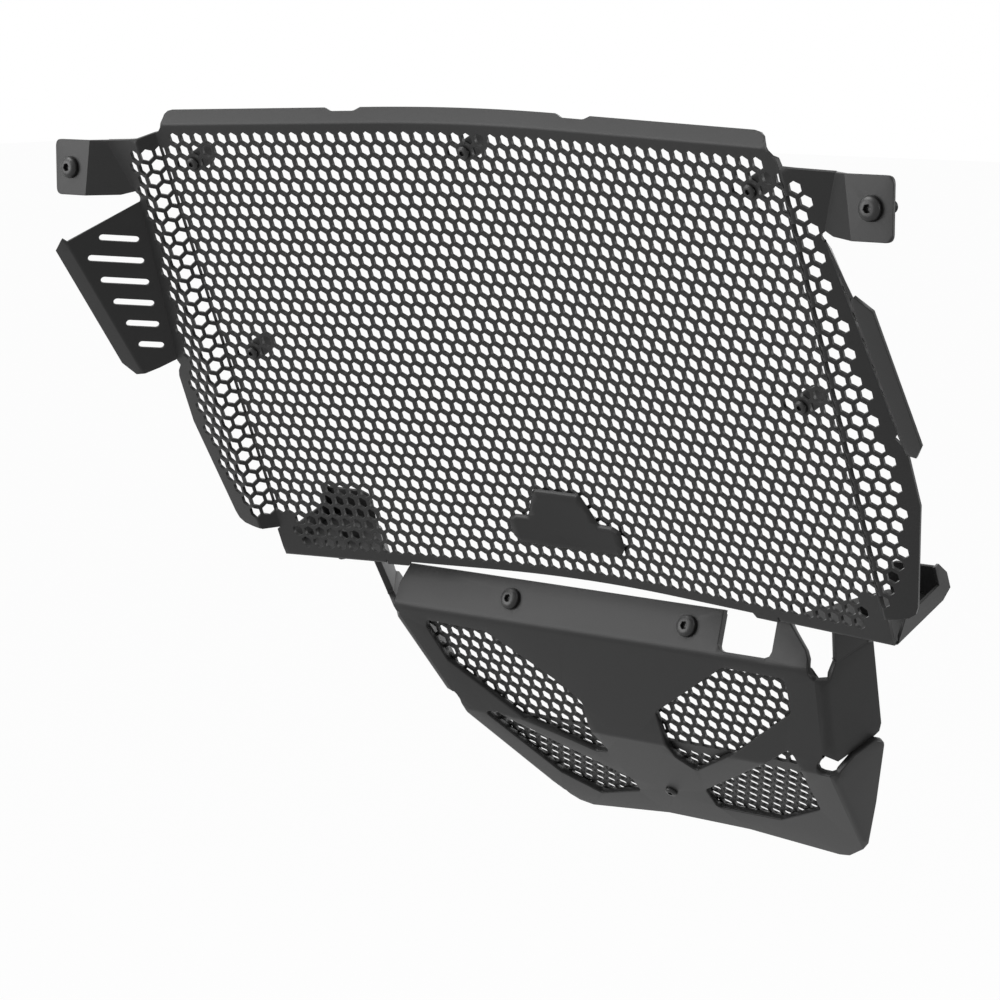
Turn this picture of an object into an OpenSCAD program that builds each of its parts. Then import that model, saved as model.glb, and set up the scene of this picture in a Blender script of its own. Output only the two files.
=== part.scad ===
// Two-piece stone guard for a motorcycle radiator: a folded honeycomb panel
// that hangs from two ears, and a heavier folded plate below it with mesh
// behind its four windows. X is across the machine, Y runs back, Z is up.
// The origin is on the left ear screw, a hair behind the ear, where its
// thread begins.

/* [Upper panel] */
// Thickness of the folded sheet
sheet_t = 1.5; // [1.2:0.1:2]
// Lean of the panel, top forward
panel_lean = 22.5; // [20:0.5:25]
// Radius of the soft bend down the middle
middle_r = 580; // [560:10:600]
// Half of the angle that the middle bend turns through
middle_half = 4.8; // [4.5:0.1:5]
// Distance from the middle to the inner fold, along the sheet
inner_fold_s = 162.5; // [162:0.5:163]
// Width of the narrow strip between the two side folds
strip_w = 9; // [8.5:0.5:9.5]
// Forward turn at the inner fold
inner_turn = 42.3; // [40:0.5:44]
// Backward turn at the outer fold
outer_turn = 55.8; // [54:0.5:58]
// Height of the top fold above the first row of holes
top_fold_v = 6.4; // [6:0.2:7]
// Depth of the bottom edge below the first row of holes
bottom_v = 205; // [204:0.5:207]
// Rise of the bottom edge along its middle
bottom_rise = 2; // [1:0.5:3]
// Height of the flange along the top
flange_h = 6.3; // [5.5:0.1:7]
// Backward turn of that flange
flange_turn = 34.7; // [30:1:40]

/* [Honeycomb] */
// Spacing of the holes
hole_pitch = 13; // [13:0.5:14]
// Width of a hole across its flats
hole_af = 10.6; // [10:0.1:10.8]

/* [Ears] */
// Half of the distance between the two ear screws
ear_x = 208.2; // [206:0.2:210]
// Height of the ear screws, from the first row of holes
ear_z = -17.8; // [-19:0.2:-17]
// Front face of the ears
ear_front_y = -18.7; // [-19:0.1:-18]
// Height of an ear
ear_h = 23.9; // [22:0.1:25]
// Reach of an ear outward from its fold
ear_w = 18.8; // [18:0.1:20]
// Distance from the middle to the fold of an ear
ear_fold_x = 198.7; // [198:0.1:199]

/* [Deflectors] */
// Forward turn of a deflector from the side strip
wing_turn = 56; // [50:1:60]
// Height of a slot
slot_h = 3.2; // [2.6:0.1:3.6]
// Spacing of the slots along the root
slot_pitch = 10.66; // [10.4:0.02:10.8]
// Turn of the return lip on a deflector
lip_turn = 40; // [35:1:45]

/* [Corner trays] */
// Depth of a tray behind the panel
tray_depth = 37; // [35:0.5:38]
// Height of its rear wall
tray_wall_h = 14; // [12:0.5:16]

/* [Badge] */
// Thickness of the blank badge plate
badge_t = 2.2; // [1.8:0.1:2.6]

/* [Bumpers] */
// Diameter of a rubber bumper
bumper_d = 8.6; // [8:0.1:9]
// Length of a rubber bumper
bumper_len = 9; // [8.5:0.1:10]

/* [Lower plate] */
// Thickness of the lower plate
lower_t = 3.1; // [2.8:0.1:3.3]
// Thickness of the mesh sheet behind it
mesh_t = 1.5; // [1.2:0.1:1.6]
// Front line of its upper fold, behind the upper panel
lower_y = 84.2; // [84:0.2:86]
// Height of that fold
lower_z = -213.2; // [-215:0.2:-213]
// Height of the band above that fold
band_h = 19.5; // [18:0.5:20]
// Backward lean of the band
band_lean = 16.2; // [15:0.2:17]
// Forward lean of the face
face_lean = 26.8; // [26:0.2:28]
// Length of the face down to its lower fold
face_len = 54.7; // [54:0.1:56]
// Further turn at the lower fold
lower_turn = 20; // [18:0.5:22]
// Outer radius of the folds
bend_r = 6; // [5.5:0.1:7]
// Backward turn of the side panels
side_turn = 60; // [58:1:62]
// Backward turn of the lower wings
low_wing_turn = 55; // [52:1:58]

/* [Fasteners] */
// Clearance round a screw in its hole
screw_clear = 0.2; // [0.1:0.05:0.4]
// Clearance between a nut and the screw in it
nut_clear = 0.05; // [0.02:0.01:0.1]
// Length of the ear screws under the head
ear_screw_len = 14; // [12:1:18]

/* [Hidden] */
$fn = 48;

coat = [0.13, 0.13, 0.135];
coat_dark = [0.08, 0.08, 0.085];
steel = [0.16, 0.16, 0.17];
rubber = [0.05, 0.05, 0.05];

// Plan of the sheet, seen from above: round in the middle, flat beyond,
// then the narrow strip turned forward and the side strip turned back
round_end_s = middle_r * middle_half * PI / 180;
outer_fold_s = inner_fold_s + strip_w;
strip_heading = middle_half + inner_turn;
side_heading = strip_heading - outer_turn;

function heading(a) = [cos(a), -sin(a)];
function round_point(s) =
    [middle_r * sin(s * 180 / PI / middle_r), middle_r * (cos(s * 180 / PI / middle_r) - 1)];
function flat_point(s) = round_point(round_end_s) + (s - round_end_s) * heading(middle_half);
function plan(s) =
    s <= round_end_s ? round_point(s)
    : s <= inner_fold_s ? flat_point(s)
    : s <= outer_fold_s ? plan(inner_fold_s) + (s - inner_fold_s) * heading(strip_heading)
    : plan(outer_fold_s) + (s - outer_fold_s) * heading(side_heading);

// A point of the leaned panel from its place in the panel's own frame
function leaned(p) = [
    p[0],
    p[1] * cos(panel_lean) - p[2] * sin(panel_lean),
    p[1] * sin(panel_lean) + p[2] * cos(panel_lean)
];
// The same from its place on the flat sheet, across and up
function at(s, v) = leaned([plan(s)[0], plan(s)[1], v]);
function unit(a) = a / norm(a);
// Vector a turned about the unit axis k
function turned(a, k, angle) =
    a * cos(angle) + cross(k, a) * sin(angle) + k * (k * a) * (1 - cos(angle));

// A closed outline whose corners are rounded with short arcs of radius r
corner_steps = 4;
function corner_arc(a, b, c, r) =
    let (u = unit(a - b), w = unit(c - b), half = acos(max(-1, min(1, u * w))) / 2)
    let (cut = min(r / tan(half), 0.45 * norm(a - b), 0.45 * norm(c - b)))
    [for (i = [0:corner_steps]) let (k = i / corner_steps)
        (1 - k) * (1 - k) * (b + cut * u) + 2 * k * (1 - k) * b + k * k * (b + cut * w)];
function rounded(pts, r) =
    let (n = len(pts))
    [for (i = [0:n - 1]) each corner_arc(pts[(i + n - 1) % n], pts[i], pts[(i + 1) % n], r)];

// Shared building steps

// Everything is drawn from the middle of the first row of holes, then moved
// so that the origin lies on the left ear screw, where its thread begins
module placed() {
    translate([ear_x, -ear_front_y - sheet_t - neck_past, -ear_z]) children();
}

module leaning() {
    rotate([panel_lean, 0, 0]) children();
}

// Both hands of a piece that is drawn on the right
module both_sides() {
    children();
    mirror([1, 0, 0]) children();
}

// A flat outline, across and up, made into an upright sheet about its middle
module upright(t) {
    rotate([90, 0, 0]) linear_extrude(t, center = true) children();
}

// A flat outline laid on the plane through o with the axes ex and ey
module leaf(o, ex, ey, t) {
    ez = cross(ex, ey);
    multmatrix([
        [ex[0], ey[0], ez[0], o[0]],
        [ex[1], ey[1], ez[1], o[1]],
        [ex[2], ey[2], ez[2], o[2]],
        [0, 0, 0, 1]
    ]) linear_extrude(t, center = true) children();
}

// The rounded outside of a fold, from a to b; it stands a hair proud
fold_extra = 0.06;

module fold_line(a, b, t) {
    d = b - a;
    translate(a)
        rotate([0, acos(d[2] / norm(d)), atan2(d[1], d[0])])
            cylinder(d = t + fold_extra, h = norm(d), $fn = 24);
}

module slot(length, width) {
    translate([0, -width / 2]) square([length, width]);
    circle(d = width, $fn = 24);
    translate([length, 0]) circle(d = width, $fn = 24);
}

// Honeycomb

row_step = hole_pitch * sqrt(3) / 2;
hole_rows = 17;
first_row_v = -3;
pad_clear = 9;
bumper_places = [[-146.25, -11.26], [0, -5.63], [146.25, -11.26], [-146.25, -101.32], [146.25, -101.32]];

module hexagon(across) {
    rotate(30) circle(d = across / cos(30), $fn = 6);
}

function near_pad(p) = min([for (q = bumper_places) norm(p - q)]) < pad_clear;

// Places of the holes between two distances from the middle
function hole_places(from, to) =
    [for (r = [0:hole_rows]) for (c = [-12:12])
        let (p = [hole_pitch * (c + (r % 2 == 0 ? 0.5 : 0)), first_row_v - row_step * r])
        if (p[0] >= from && p[0] <= to && !near_pad(p)) p];

module holes(from, to) {
    for (p = hole_places(from, to)) translate(p) hexagon(hole_af);
}

// Upper panel

notch_from = 51;
notch_to = 69.4;
notch_depth = 1.5;
notch_slant = 4;
flange_end = 157;
flange_corner = 4;
rise_end = 94.6;
rise_start = 93;
corner_s = 164.7;
strip_top_v = 2.6;
strip_low_v = -189.4;
last_hole_s = 150;

// The soft bend is pressed in small equal steps, each a narrow flat
bend_steps = 5;
step_turn = middle_half / bend_steps;
flat_start = middle_r * (tan(step_turn / 2) + (bend_steps - 1) * step_turn * PI / 180);

// Side view of the sheet with its top flange, back and up
module sheet_section() {
    reach = flange_h * sin(flange_turn);
    rise = flange_h * cos(flange_turn);
    h = sheet_t / 2;
    fold_shift = h * tan(flange_turn / 2);
    polygon([
        [-h, -bottom_v], [h, -bottom_v], [h, top_fold_v - fold_shift],
        [reach + h * cos(flange_turn), top_fold_v + rise - h * sin(flange_turn)],
        [reach - h * cos(flange_turn), top_fold_v + rise + h * sin(flange_turn)],
        [-h, top_fold_v + fold_shift]
    ]);
}

module sheet_length(from, to) {
    translate([from, 0, 0]) rotate([90, 0, 90]) linear_extrude(to - from) sheet_section();
}

// Children turned about the upright axis of the soft bend
module about_bend(turn) {
    translate([0, -middle_r, 0]) rotate([0, 0, -turn]) translate([0, middle_r, 0]) children();
}

// Plan of one narrow flat, between its two bend lines. Neighbours lap by a
// hair, so that they join.
near = 10;
lap = 0.02;

module step_plan() {
    k = tan(step_turn / 2);
    translate([0, 0, -2 * bottom_v]) linear_extrude(3 * bottom_v) polygon([
        [(near - middle_r) * k - lap, -near], [(middle_r - near) * k + lap, -near],
        [(middle_r + near) * k + lap, near], [-(middle_r + near) * k - lap, near]
    ]);
}

module soft_bend() {
    for (i = [1 - bend_steps:bend_steps - 1]) about_bend(i * step_turn) intersection() {
        sheet_length(-near, near);
        step_plan();
    }
}

// Front view of a flat half with its flange, and the plan that cuts its ends
module half_outline() {
    c = cos(flange_turn);
    polygon([
        [0, -bottom_v], [corner_s, -bottom_v], [corner_s, strip_low_v - 1], [inner_fold_s - 1, strip_low_v - 1],
        [inner_fold_s - 1, strip_low_v], [corner_s, strip_low_v], [corner_s, strip_top_v],
        [inner_fold_s, strip_top_v], [flange_end + 1, top_fold_v - 0.5],
        [flange_end, top_fold_v + c * (flange_h - flange_corner)],
        [flange_end - flange_corner, top_fold_v + c * flange_h + sheet_t],
        [notch_to, top_fold_v + c * flange_h + sheet_t],
        [notch_to - notch_slant, top_fold_v + c * (flange_h - notch_depth)],
        [notch_from + notch_slant, top_fold_v + c * (flange_h - notch_depth)],
        [notch_from, top_fold_v + c * flange_h + sheet_t],
        [0, top_fold_v + c * flange_h + sheet_t]
    ]);
}

// Where the mitre of a fold lies, across at a place in front of the sheet
function mitre(turn, y) = -y * tan(turn / 2);

module flat_half() {
    about_bend(middle_half) translate([-round_end_s, 0, 0]) difference() {
        intersection() {
            sheet_length(round_end_s - near, corner_s);
            upright(2 * near) half_outline();
            translate([0, 0, -2 * bottom_v]) linear_extrude(3 * bottom_v) polygon([
                [flat_start + mitre(step_turn, near) - lap, -near], [2 * inner_fold_s, -near],
                [2 * inner_fold_s, near], [flat_start - mitre(step_turn, near) - lap, near]
            ]);
        }
        translate([0, 0, strip_low_v]) linear_extrude(2 * bottom_v) polygon([
            [inner_fold_s + mitre(-inner_turn, -near), -near], [2 * inner_fold_s, -near],
            [2 * inner_fold_s, near], [inner_fold_s + mitre(-inner_turn, near), near]
        ]);
    }
}

// A line of holes down a strip
module hole_line(s, v, count, across) {
    for (i = [0:count - 1]) translate([s, v - i * row_step]) hexagon(across);
}

// The strip between the two side folds, with one line of holes
narrow_hole_af = 6.6;
strip_ease = 0.3;

module narrow_strip() {
    p = plan(inner_fold_s);
    h = sheet_t / 2;
    translate([p[0], p[1], strip_low_v + strip_ease]) rotate([0, 0, -strip_heading])
        linear_extrude(strip_top_v - strip_low_v - strip_ease) polygon([
            [mitre(inner_turn, -h) - lap, -h], [strip_w - mitre(outer_turn, -h) + lap, -h],
            [strip_w - mitre(outer_turn, h) + lap, h], [mitre(inner_turn, h) - lap, h]
        ]);
}

// The side strip with its holes; its outline is given from the middle
ear_fold_top = [193.5, 0];
ear_fold_low = [184, -23];
wing_top = [183, -27.5];
wing_low = [194.5, -106];
side_hole_af = 6.6;
side_hole_s = [176.6, 184.6];

module side_strip() {
    p = plan(outer_fold_s);
    h = sheet_t / 2;
    translate([p[0], p[1], 0]) rotate([0, 0, -side_heading]) intersection() {
        upright(4 * sheet_t) translate([-outer_fold_s, 0]) polygon([
            [outer_fold_s - strip_w / 2, strip_top_v], [outer_fold_s, strip_top_v],
            ear_fold_top, ear_fold_low, [182.6, -24.3],
            [182.6, -26.7], wing_top, wing_low, [192.7, -108.5], [195.5, -111.7],
            [197, -115], [197, -137.5], [186.5, -181.8], [184.9, -185.1], [181.6, -187],
            [outer_fold_s, strip_low_v], [outer_fold_s - strip_w / 2, strip_low_v]
        ]);
        translate([0, 0, -bottom_v]) linear_extrude(2 * bottom_v) polygon([
            [-mitre(outer_turn, -h), -h], [3 * strip_w, -h], [3 * strip_w, h], [-mitre(outer_turn, h), h]
        ]);
    }
}

// The holes of the middle part and the rise of its bottom edge, as cutters
module middle_cuts() {
    rise_low = 2 * rise_end - rise_start;
    upright(2 * near) {
        polygon([
            [-rise_low, -bottom_rise - bottom_v], [rise_low, -bottom_rise - bottom_v],
            [rise_start, bottom_rise - bottom_v], [-rise_start, bottom_rise - bottom_v]
        ]);
        holes(-round_end_s, round_end_s);
        translate(bumper_places[1]) circle(d = m3_d + 2 * screw_clear);
    }
    both_sides() about_bend(middle_half) translate([-round_end_s, 0, 0]) upright(near) {
        holes(round_end_s + 0.1, last_hole_s);
        for (i = [2, 4]) translate(bumper_places[i]) circle(d = m3_d + 2 * screw_clear);
    }
}

module strip_cuts() {
    p = plan(inner_fold_s);
    translate([p[0], p[1], 0]) rotate([0, 0, -strip_heading]) upright(3 * sheet_t)
        hole_line(strip_w / 2, -6, 16, narrow_hole_af);
    q = plan(outer_fold_s);
    translate([q[0], q[1], 0]) rotate([0, 0, -side_heading]) upright(3 * sheet_t)
        translate([-outer_fold_s, 0]) {
            hole_line(side_hole_s[0], -8, 16, side_hole_af);
            hole_line(side_hole_s[1], -64, 9, side_hole_af);
        }
}

// Ear: an arm folded from the side strip along a slant, then a flat tab
ear_mid_y = ear_front_y + sheet_t / 2;
ear_top_z = ear_z + ear_h / 2;
ear_low_z = ear_z - ear_h / 2;
ear_corner = 3;

module ear() {
    a = at(ear_fold_top[0], ear_fold_top[1]);
    b = at(ear_fold_low[0], ear_fold_low[1]);
    c = [ear_fold_x, ear_mid_y, ear_z];
    knee = b + [5.8, -3.5, -1.8];
    ex = unit(a - b);
    flat = (c - b) - ex * (ex * (c - b));
    ey = unit(flat);
    corners = [b, knee, [ear_fold_x, ear_mid_y, ear_low_z], [ear_fold_x, ear_mid_y, ear_top_z], a];
    leaf(b, ex, ey, sheet_t) polygon([for (q = corners) [ex * (q - b), ey * (q - b)]]);
    fold_line(b, a, sheet_t);
    fold_line([ear_fold_x, ear_mid_y, ear_low_z], [ear_fold_x, ear_mid_y, ear_top_z], sheet_t);
    outer = ear_fold_x + ear_w;
    translate([0, ear_mid_y, 0]) upright(sheet_t) difference() {
        polygon(concat(
            [[ear_fold_x, ear_low_z]],
            corner_arc([ear_fold_x, ear_low_z], [outer, ear_low_z], [outer, ear_top_z], ear_corner),
            corner_arc([outer, ear_low_z], [outer, ear_top_z], [ear_fold_x, ear_top_z], ear_corner),
            [[ear_fold_x, ear_top_z]]
        ));
        translate([ear_x, ear_z]) circle(d = m5_d + 2 * screw_clear);
    }
}

// Deflector: turned forward from the side strip, with six slots and a lip
wing_fold_top = [11.7, 35.1];
wing_fold_low = [83.1, 16];
first_slot = [17.5, 6];
slot_slant = 107.3;
first_slot_len = 14.2;
second_slot_len = 21.3;
slot_shorter = 3.3;

module deflector() {
    a = at(wing_top[0], wing_top[1]);
    b = at(wing_low[0], wing_low[1]);
    across = leaned([cos(side_heading), -sin(side_heading), 0]);
    ex = unit(b - a);
    out = unit(across - ex * (ex * across));
    ey = turned(out, ex, wing_turn);
    leaf(a, ex, ey, sheet_t) difference() {
        polygon([[0, 0], wing_fold_top, wing_fold_low, [81.6, 8.4], [norm(b - a), 0]]);
        for (i = [0:5])
            translate(first_slot + [i * slot_pitch, 0]) rotate(slot_slant)
                slot(i == 0 ? first_slot_len : second_slot_len - slot_shorter * (i - 1), slot_h);
    }
    fold_line(a, b, sheet_t);
    p = a + wing_fold_top[0] * ex + wing_fold_top[1] * ey;
    q = a + wing_fold_low[0] * ex + wing_fold_low[1] * ey;
    lip_x = unit(q - p);
    lip_out = unit(ey - lip_x * (lip_x * ey));
    lip_y = turned(lip_out, lip_x, -lip_turn);
    leaf(p, lip_x, lip_y, sheet_t)
        polygon([[0, 0], [-1.6, 1.8], [3.9, 8.6], [67, 8.6], [73.8, 3.9], [norm(q - p), 0]]);
    fold_line(p, q, sheet_t);
}

// Tray at a bottom corner: a floor folded back from the panel, a rear wall
// and an L-shaped side plate. Places on it are given across from the middle
// and back from the panel's corner.
tray_inner_front = 106.7;
tray_inner_rear = 139.7;
tray_side_x = 165.5;
tray_arm_h = 8;
tray_gap = 2;
tray_y = flat_point(corner_s)[1];
floor_v = sheet_t / 2 - bottom_v;

module tray() {
    front = [for (s = [tray_inner_front, corner_s]) flat_point(s) - [0, tray_y]];
    translate([0, tray_y, floor_v]) {
        difference() {
            linear_extrude(sheet_t, center = true)
                polygon([
                    front[0], front[1], [front[1][0], tray_gap], [tray_side_x, tray_gap],
                    [tray_side_x, tray_depth], [tray_inner_rear, tray_depth]
                ]);
            translate([joint_at[0], joint_at[1], -sheet_t])
                cylinder(d = m5_d + 2 * screw_clear, h = 2 * sheet_t);
        }
        fold_line([front[0][0], front[0][1], 0], [front[1][0], front[1][1], 0], sheet_t);
        fold_line([tray_inner_rear, tray_depth, 0], [tray_side_x, tray_depth, 0], sheet_t);
        fold_line([tray_side_x, tray_gap, 0], [tray_side_x, tray_depth, 0], sheet_t);
        translate([0, tray_depth, 0]) upright(sheet_t)
            polygon([
                [tray_inner_rear, 0], [tray_side_x - 1, 0], [tray_side_x - 1, tray_wall_h],
                [tray_inner_rear + 5, tray_wall_h], [tray_inner_rear + 1.5, tray_wall_h - 1.5],
                [tray_inner_rear, tray_wall_h - 5]
            ]);
        translate([tray_side_x, 0, 0]) rotate([90, 0, 90]) linear_extrude(sheet_t, center = true)
            polygon([
                [tray_gap, 0], [tray_depth, 0], [tray_depth + 3, 3], [tray_depth + 3, 10],
                [tray_depth - 1, tray_wall_h + 2], [tray_depth - 4, tray_wall_h + 2],
                [tray_depth - 4, tray_arm_h], [8, tray_arm_h], [tray_gap, 3]
            ]);
    }
}

module upper_guard() {
    color(coat) placed() {
        difference() {
            leaning() {
                soft_bend();
                both_sides() {
                    flat_half();
                    narrow_strip();
                    side_strip();
                    tray();
                }
            }
            leaning() {
                middle_cuts();
                both_sides() strip_cuts();
            }
        }
        both_sides() ear();
        both_sides() deflector();
    }
}

// Puts children on the panel at a bumper, with Y straight back from the sheet
module at_bumper(q) {
    s = abs(q[0]);
    p = plan(s);
    turn = s <= round_end_s ? 0 : middle_half;
    mirror([q[0] < 0 ? 1 : 0, 0, 0]) translate([p[0], p[1], q[1]]) rotate([0, 0, -turn]) children();
}

// Screws and nuts, drawn along +Y with the underside of the head at the origin

m5_d = 5;
m5_head_d = 9.5;
m5_head_h = 2.75;
m5_key = 3;
m5_nut_af = 8;
m5_nut_h = 4;
m3_d = 3;
m3_head_d = 5.7;
m3_head_h = 1.65;
m3_key = 2;
m3_nut_af = 5.5;
m3_nut_h = 2.4;
rim = 0.5;

module button_screw(d, head_d, head_h, key, length) {
    rotate([-90, 0, 0]) difference() {
        union() {
            cylinder(d = d, h = length);
            translate([0, 0, -rim]) cylinder(d = head_d, h = rim);
            translate([0, 0, -head_h]) cylinder(d1 = 0.62 * head_d, d2 = head_d, h = head_h - rim);
        }
        translate([0, 0, -head_h - 1]) cylinder(d = key / cos(30), h = 1 + 0.6 * head_h, $fn = 6);
    }
}

module nut(d, af, h) {
    rotate([-90, 0, 0]) difference() {
        cylinder(d = af / cos(30), h = h, $fn = 6);
        translate([0, 0, -1]) cylinder(d = d + 2 * nut_clear, h = h + 2);
    }
}

// The shank of an ear screw is relieved under the head, through the ear
neck_d = 4.4;
neck_past = 0.2;

module ear_screw(side) {
    neck_len = sheet_t + neck_past;
    color(steel) placed() translate([side * ear_x, ear_front_y, ear_z]) {
        button_screw(neck_d, m5_head_d, m5_head_h, m5_key, neck_len + rim);
        rotate([-90, 0, 0]) translate([0, 0, neck_len]) cylinder(d = m5_d, h = ear_screw_len - neck_len);
    }
}

// Bumpers: rubber feet behind the panel that rest on the radiator, each held
// by a small screw through the mesh and a nut sunk in its rear end
pocket_depth = 4;
// Gap that keeps the heads and bumpers just off the painted sheet
middle_sag = 0.02;

module bumper_screw(i) {
    under = bumper_len - pocket_depth + m3_nut_h;
    color(steel) placed() leaning() at_bumper(bumper_places[i])
        translate([0, -sheet_t / 2 - middle_sag, 0])
            button_screw(m3_d, m3_head_d, m3_head_h, m3_key, sheet_t + under);
}

module bumper(i) {
    color(rubber) placed() leaning() at_bumper(bumper_places[i]) translate([0, bumper_seat, 0])
        rotate([-90, 0, 0]) difference() {
            cylinder(d = bumper_d, h = bumper_len);
            translate([0, 0, -1]) cylinder(d = m3_d + 2 * screw_clear, h = bumper_len + 2);
            translate([0, 0, bumper_len - pocket_depth]) cylinder(d = m3_nut_af / cos(30) + 0.6, h = bumper_len);
        }
}

module bumper_nut(i) {
    seat = bumper_seat + bumper_len - pocket_depth;
    color(steel) placed() leaning() at_bumper(bumper_places[i]) translate([0, seat, 0])
        nut(m3_d, m3_nut_af, m3_nut_h);
}

bumper_seat = sheet_t / 2 + 0.02;

// Badge: a blank plate bent to the front of the sheet
badge_low_v = -187;
badge_step_v = -173;
badge_top_v = -159.5;
badge_half = 30.3;
badge_neck = 19;
badge_top_half = 12.4;
badge_corner = 2.5;

module badge_plate() {
    front_r = middle_r - sheet_t / 2;
    color(coat_dark) placed() leaning() intersection() {
        translate([0, -middle_r, badge_low_v - 1]) rotate([0, 0, 90 - middle_half])
            rotate_extrude(angle = 2 * middle_half, $fn = 360)
                translate([front_r - badge_t, 0]) square([badge_t, badge_top_v - badge_low_v + 2]);
        upright(8 * badge_t) polygon(rounded([
            [-badge_half + 3, badge_low_v], [badge_half - 3, badge_low_v],
            [badge_half, badge_low_v + 4], [badge_half, badge_step_v - 2], [badge_half - 4, badge_step_v],
            [badge_neck, badge_step_v], [badge_top_half, badge_top_v],
            [-badge_top_half, badge_top_v], [-badge_neck, badge_step_v], [-badge_half + 4, badge_step_v],
            [-badge_half, badge_step_v - 2], [-badge_half, badge_low_v + 4]
        ], badge_corner));
    }
}

// Lower plate, in three leaves: a band that leans back, a face that leans
// forward and a lower leaf that turns further under

module in_band() {
    translate([0, lower_y, lower_z]) rotate([-band_lean, 0, 0]) children();
}

module in_face() {
    translate([0, lower_y, lower_z]) rotate([face_lean, 0, 0]) children();
}

module in_low() {
    in_face() translate([0, 0, -face_len]) rotate([lower_turn, 0, 0]) children();
}

wide = 130;

// Windows on the unfolded plate, across and down from the upper fold
window_corner = 3;
windows = [
    [[-97, -6.3], [-62.8, -7.4], [-28.7, -30.3], [-20.2, -39], [-21.4, -50], [-19.5, -70.5],
        [-28, -71.9], [-58, -54.5], [-93.2, -28], [-99, -10]],
    [[66, -6.1], [97.6, -6.8], [95, -24.8], [58.3, -51.6], [27, -73], [20.4, -64], [20.6, -37]],
    [[-82, -54], [-74, -53], [-19.6, -91.7], [-20.2, -102.6], [-48.1, -112.3], [-64.3, -99.2]],
    [[91, -43.5], [92, -52], [84.6, -87.5], [55.9, -104], [21.6, -104], [23, -89.5]]
];

module window_shapes() {
    for (w = windows) polygon(rounded(w, window_corner));
}

// Outline of the three leaves, unfolded, with the notch in the band and the
// relief slot at the right end of its fold
left_low_x = -100.6;
right_low_x = 108.2;
side_top_v = -5.8;
side_low_v = -47;
notch_x = [65, 92];
notch_floor = 2.3;
relief_x = 114.2;
relief_d = 7;

module leaves_outline() {
    difference() {
        polygon([
            [-109, band_h], [-113.5, 10], [-114.5, 0], [-116.9, side_top_v],
            [left_low_x, side_low_v], [left_low_x + 4, side_low_v - 1], [-95.5, -51.5], [-96, -face_len],
            [-83, -face_len - 39.6], [-73.7, -face_len - 64.3], [-67.6, -face_len - 69.3],
            [-60.9, -face_len - 71.6], [-12.9, -face_len - 64.1], [31, -face_len - 64.7],
            [75.4, -face_len - 71.9], [81.1, -face_len - 70.9], [94.5, -face_len - 60.9],
            [107.5, -face_len], [106.6, -51.5], [105, -49], [right_low_x, side_low_v],
            [116.5, side_top_v], [118, 0], [118, 6], [111, 8], [98.5, band_h]
        ]);
        translate([notch_x[0], notch_floor]) square([notch_x[1] - notch_x[0], 2 * band_h]);
        translate([relief_x, -2]) circle(d = relief_d, $fn = 32);
        translate([relief_x - relief_d / 2, -2]) square([2 * relief_d, 12]);
    }
}

// Side view of the folded leaves between two depths, back and up. Each fold
// is pressed in small equal steps.
fold_steps = 5;
low_end = 75;

function away(lean) = [cos(lean), sin(lean)];
function upward(lean) = [-sin(lean), cos(lean)];
low_line = [lower_y, lower_z] - face_len * upward(face_lean);

// Points of a fold at one depth: its middle line is bend_r behind the front
function fold_points(corner, lean_a, lean_b, depth) =
    let (middle = corner + bend_r / cos((lean_b - lean_a) / 2) * away((lean_a + lean_b) / 2))
    let (r = (bend_r - depth) / cos((lean_b - lean_a) / 2 / fold_steps))
    [for (i = [0:fold_steps - 1]) middle - r * away(lean_a + (lean_b - lean_a) * (i + 0.5) / fold_steps)];

function leaves_line(depth) = concat(
    [[lower_y, lower_z] + 1.5 * band_h * upward(-band_lean) + depth * away(-band_lean)],
    fold_points([lower_y, lower_z], -band_lean, face_lean, depth),
    fold_points(low_line, face_lean, face_lean + lower_turn, depth),
    [low_line - low_end * upward(face_lean + lower_turn) + depth * away(face_lean + lower_turn)]
);

function reversed(list) = [for (i = [len(list) - 1:-1:0]) list[i]];

module folded_blank(depth, t) {
    translate([-wide, 0, 0]) rotate([90, 0, 90]) linear_extrude(2 * wide)
        polygon(concat(leaves_line(depth), reversed(leaves_line(depth + t))));
}

// The mesh sheet stops short of the side folds
mesh_inset = 3.2;
mesh_sides = [
    [-113.2, 2 * band_h], [-113.2, side_top_v], [left_low_x + mesh_inset, side_low_v],
    [mesh_inset - 96, -face_len], [mesh_inset - 73, -face_len - 64.3], [mesh_inset - 73, -3 * face_len],
    [94.5 - mesh_inset, -3 * face_len], [94.5 - mesh_inset, -face_len - 60.9],
    [107.5 - mesh_inset, -face_len], [right_low_x - mesh_inset, side_low_v],
    [113.2, side_top_v], [113.2, 2 * band_h]
];

// What is cut from the blank: all round the outline, and the windows or holes
module cut_shapes(cuts) {
    difference() {
        square([4 * wide, 4 * wide], center = true);
        intersection() {
            leaves_outline();
            if (cuts == "mesh") polygon(mesh_sides);
        }
    }
    if (cuts == "windows") window_shapes();
    if (cuts == "mesh") mesh_holes();
}

// Cutters through each leaf, along its own normal
cut_depth = 12;

module leaf_cutter(from, to, cuts) {
    translate([0, cut_depth, 0]) rotate([90, 0, 0]) linear_extrude(2 * cut_depth) intersection() {
        cut_shapes(cuts);
        translate([-2 * wide, from]) square([4 * wide, to - from]);
    }
}

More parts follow.
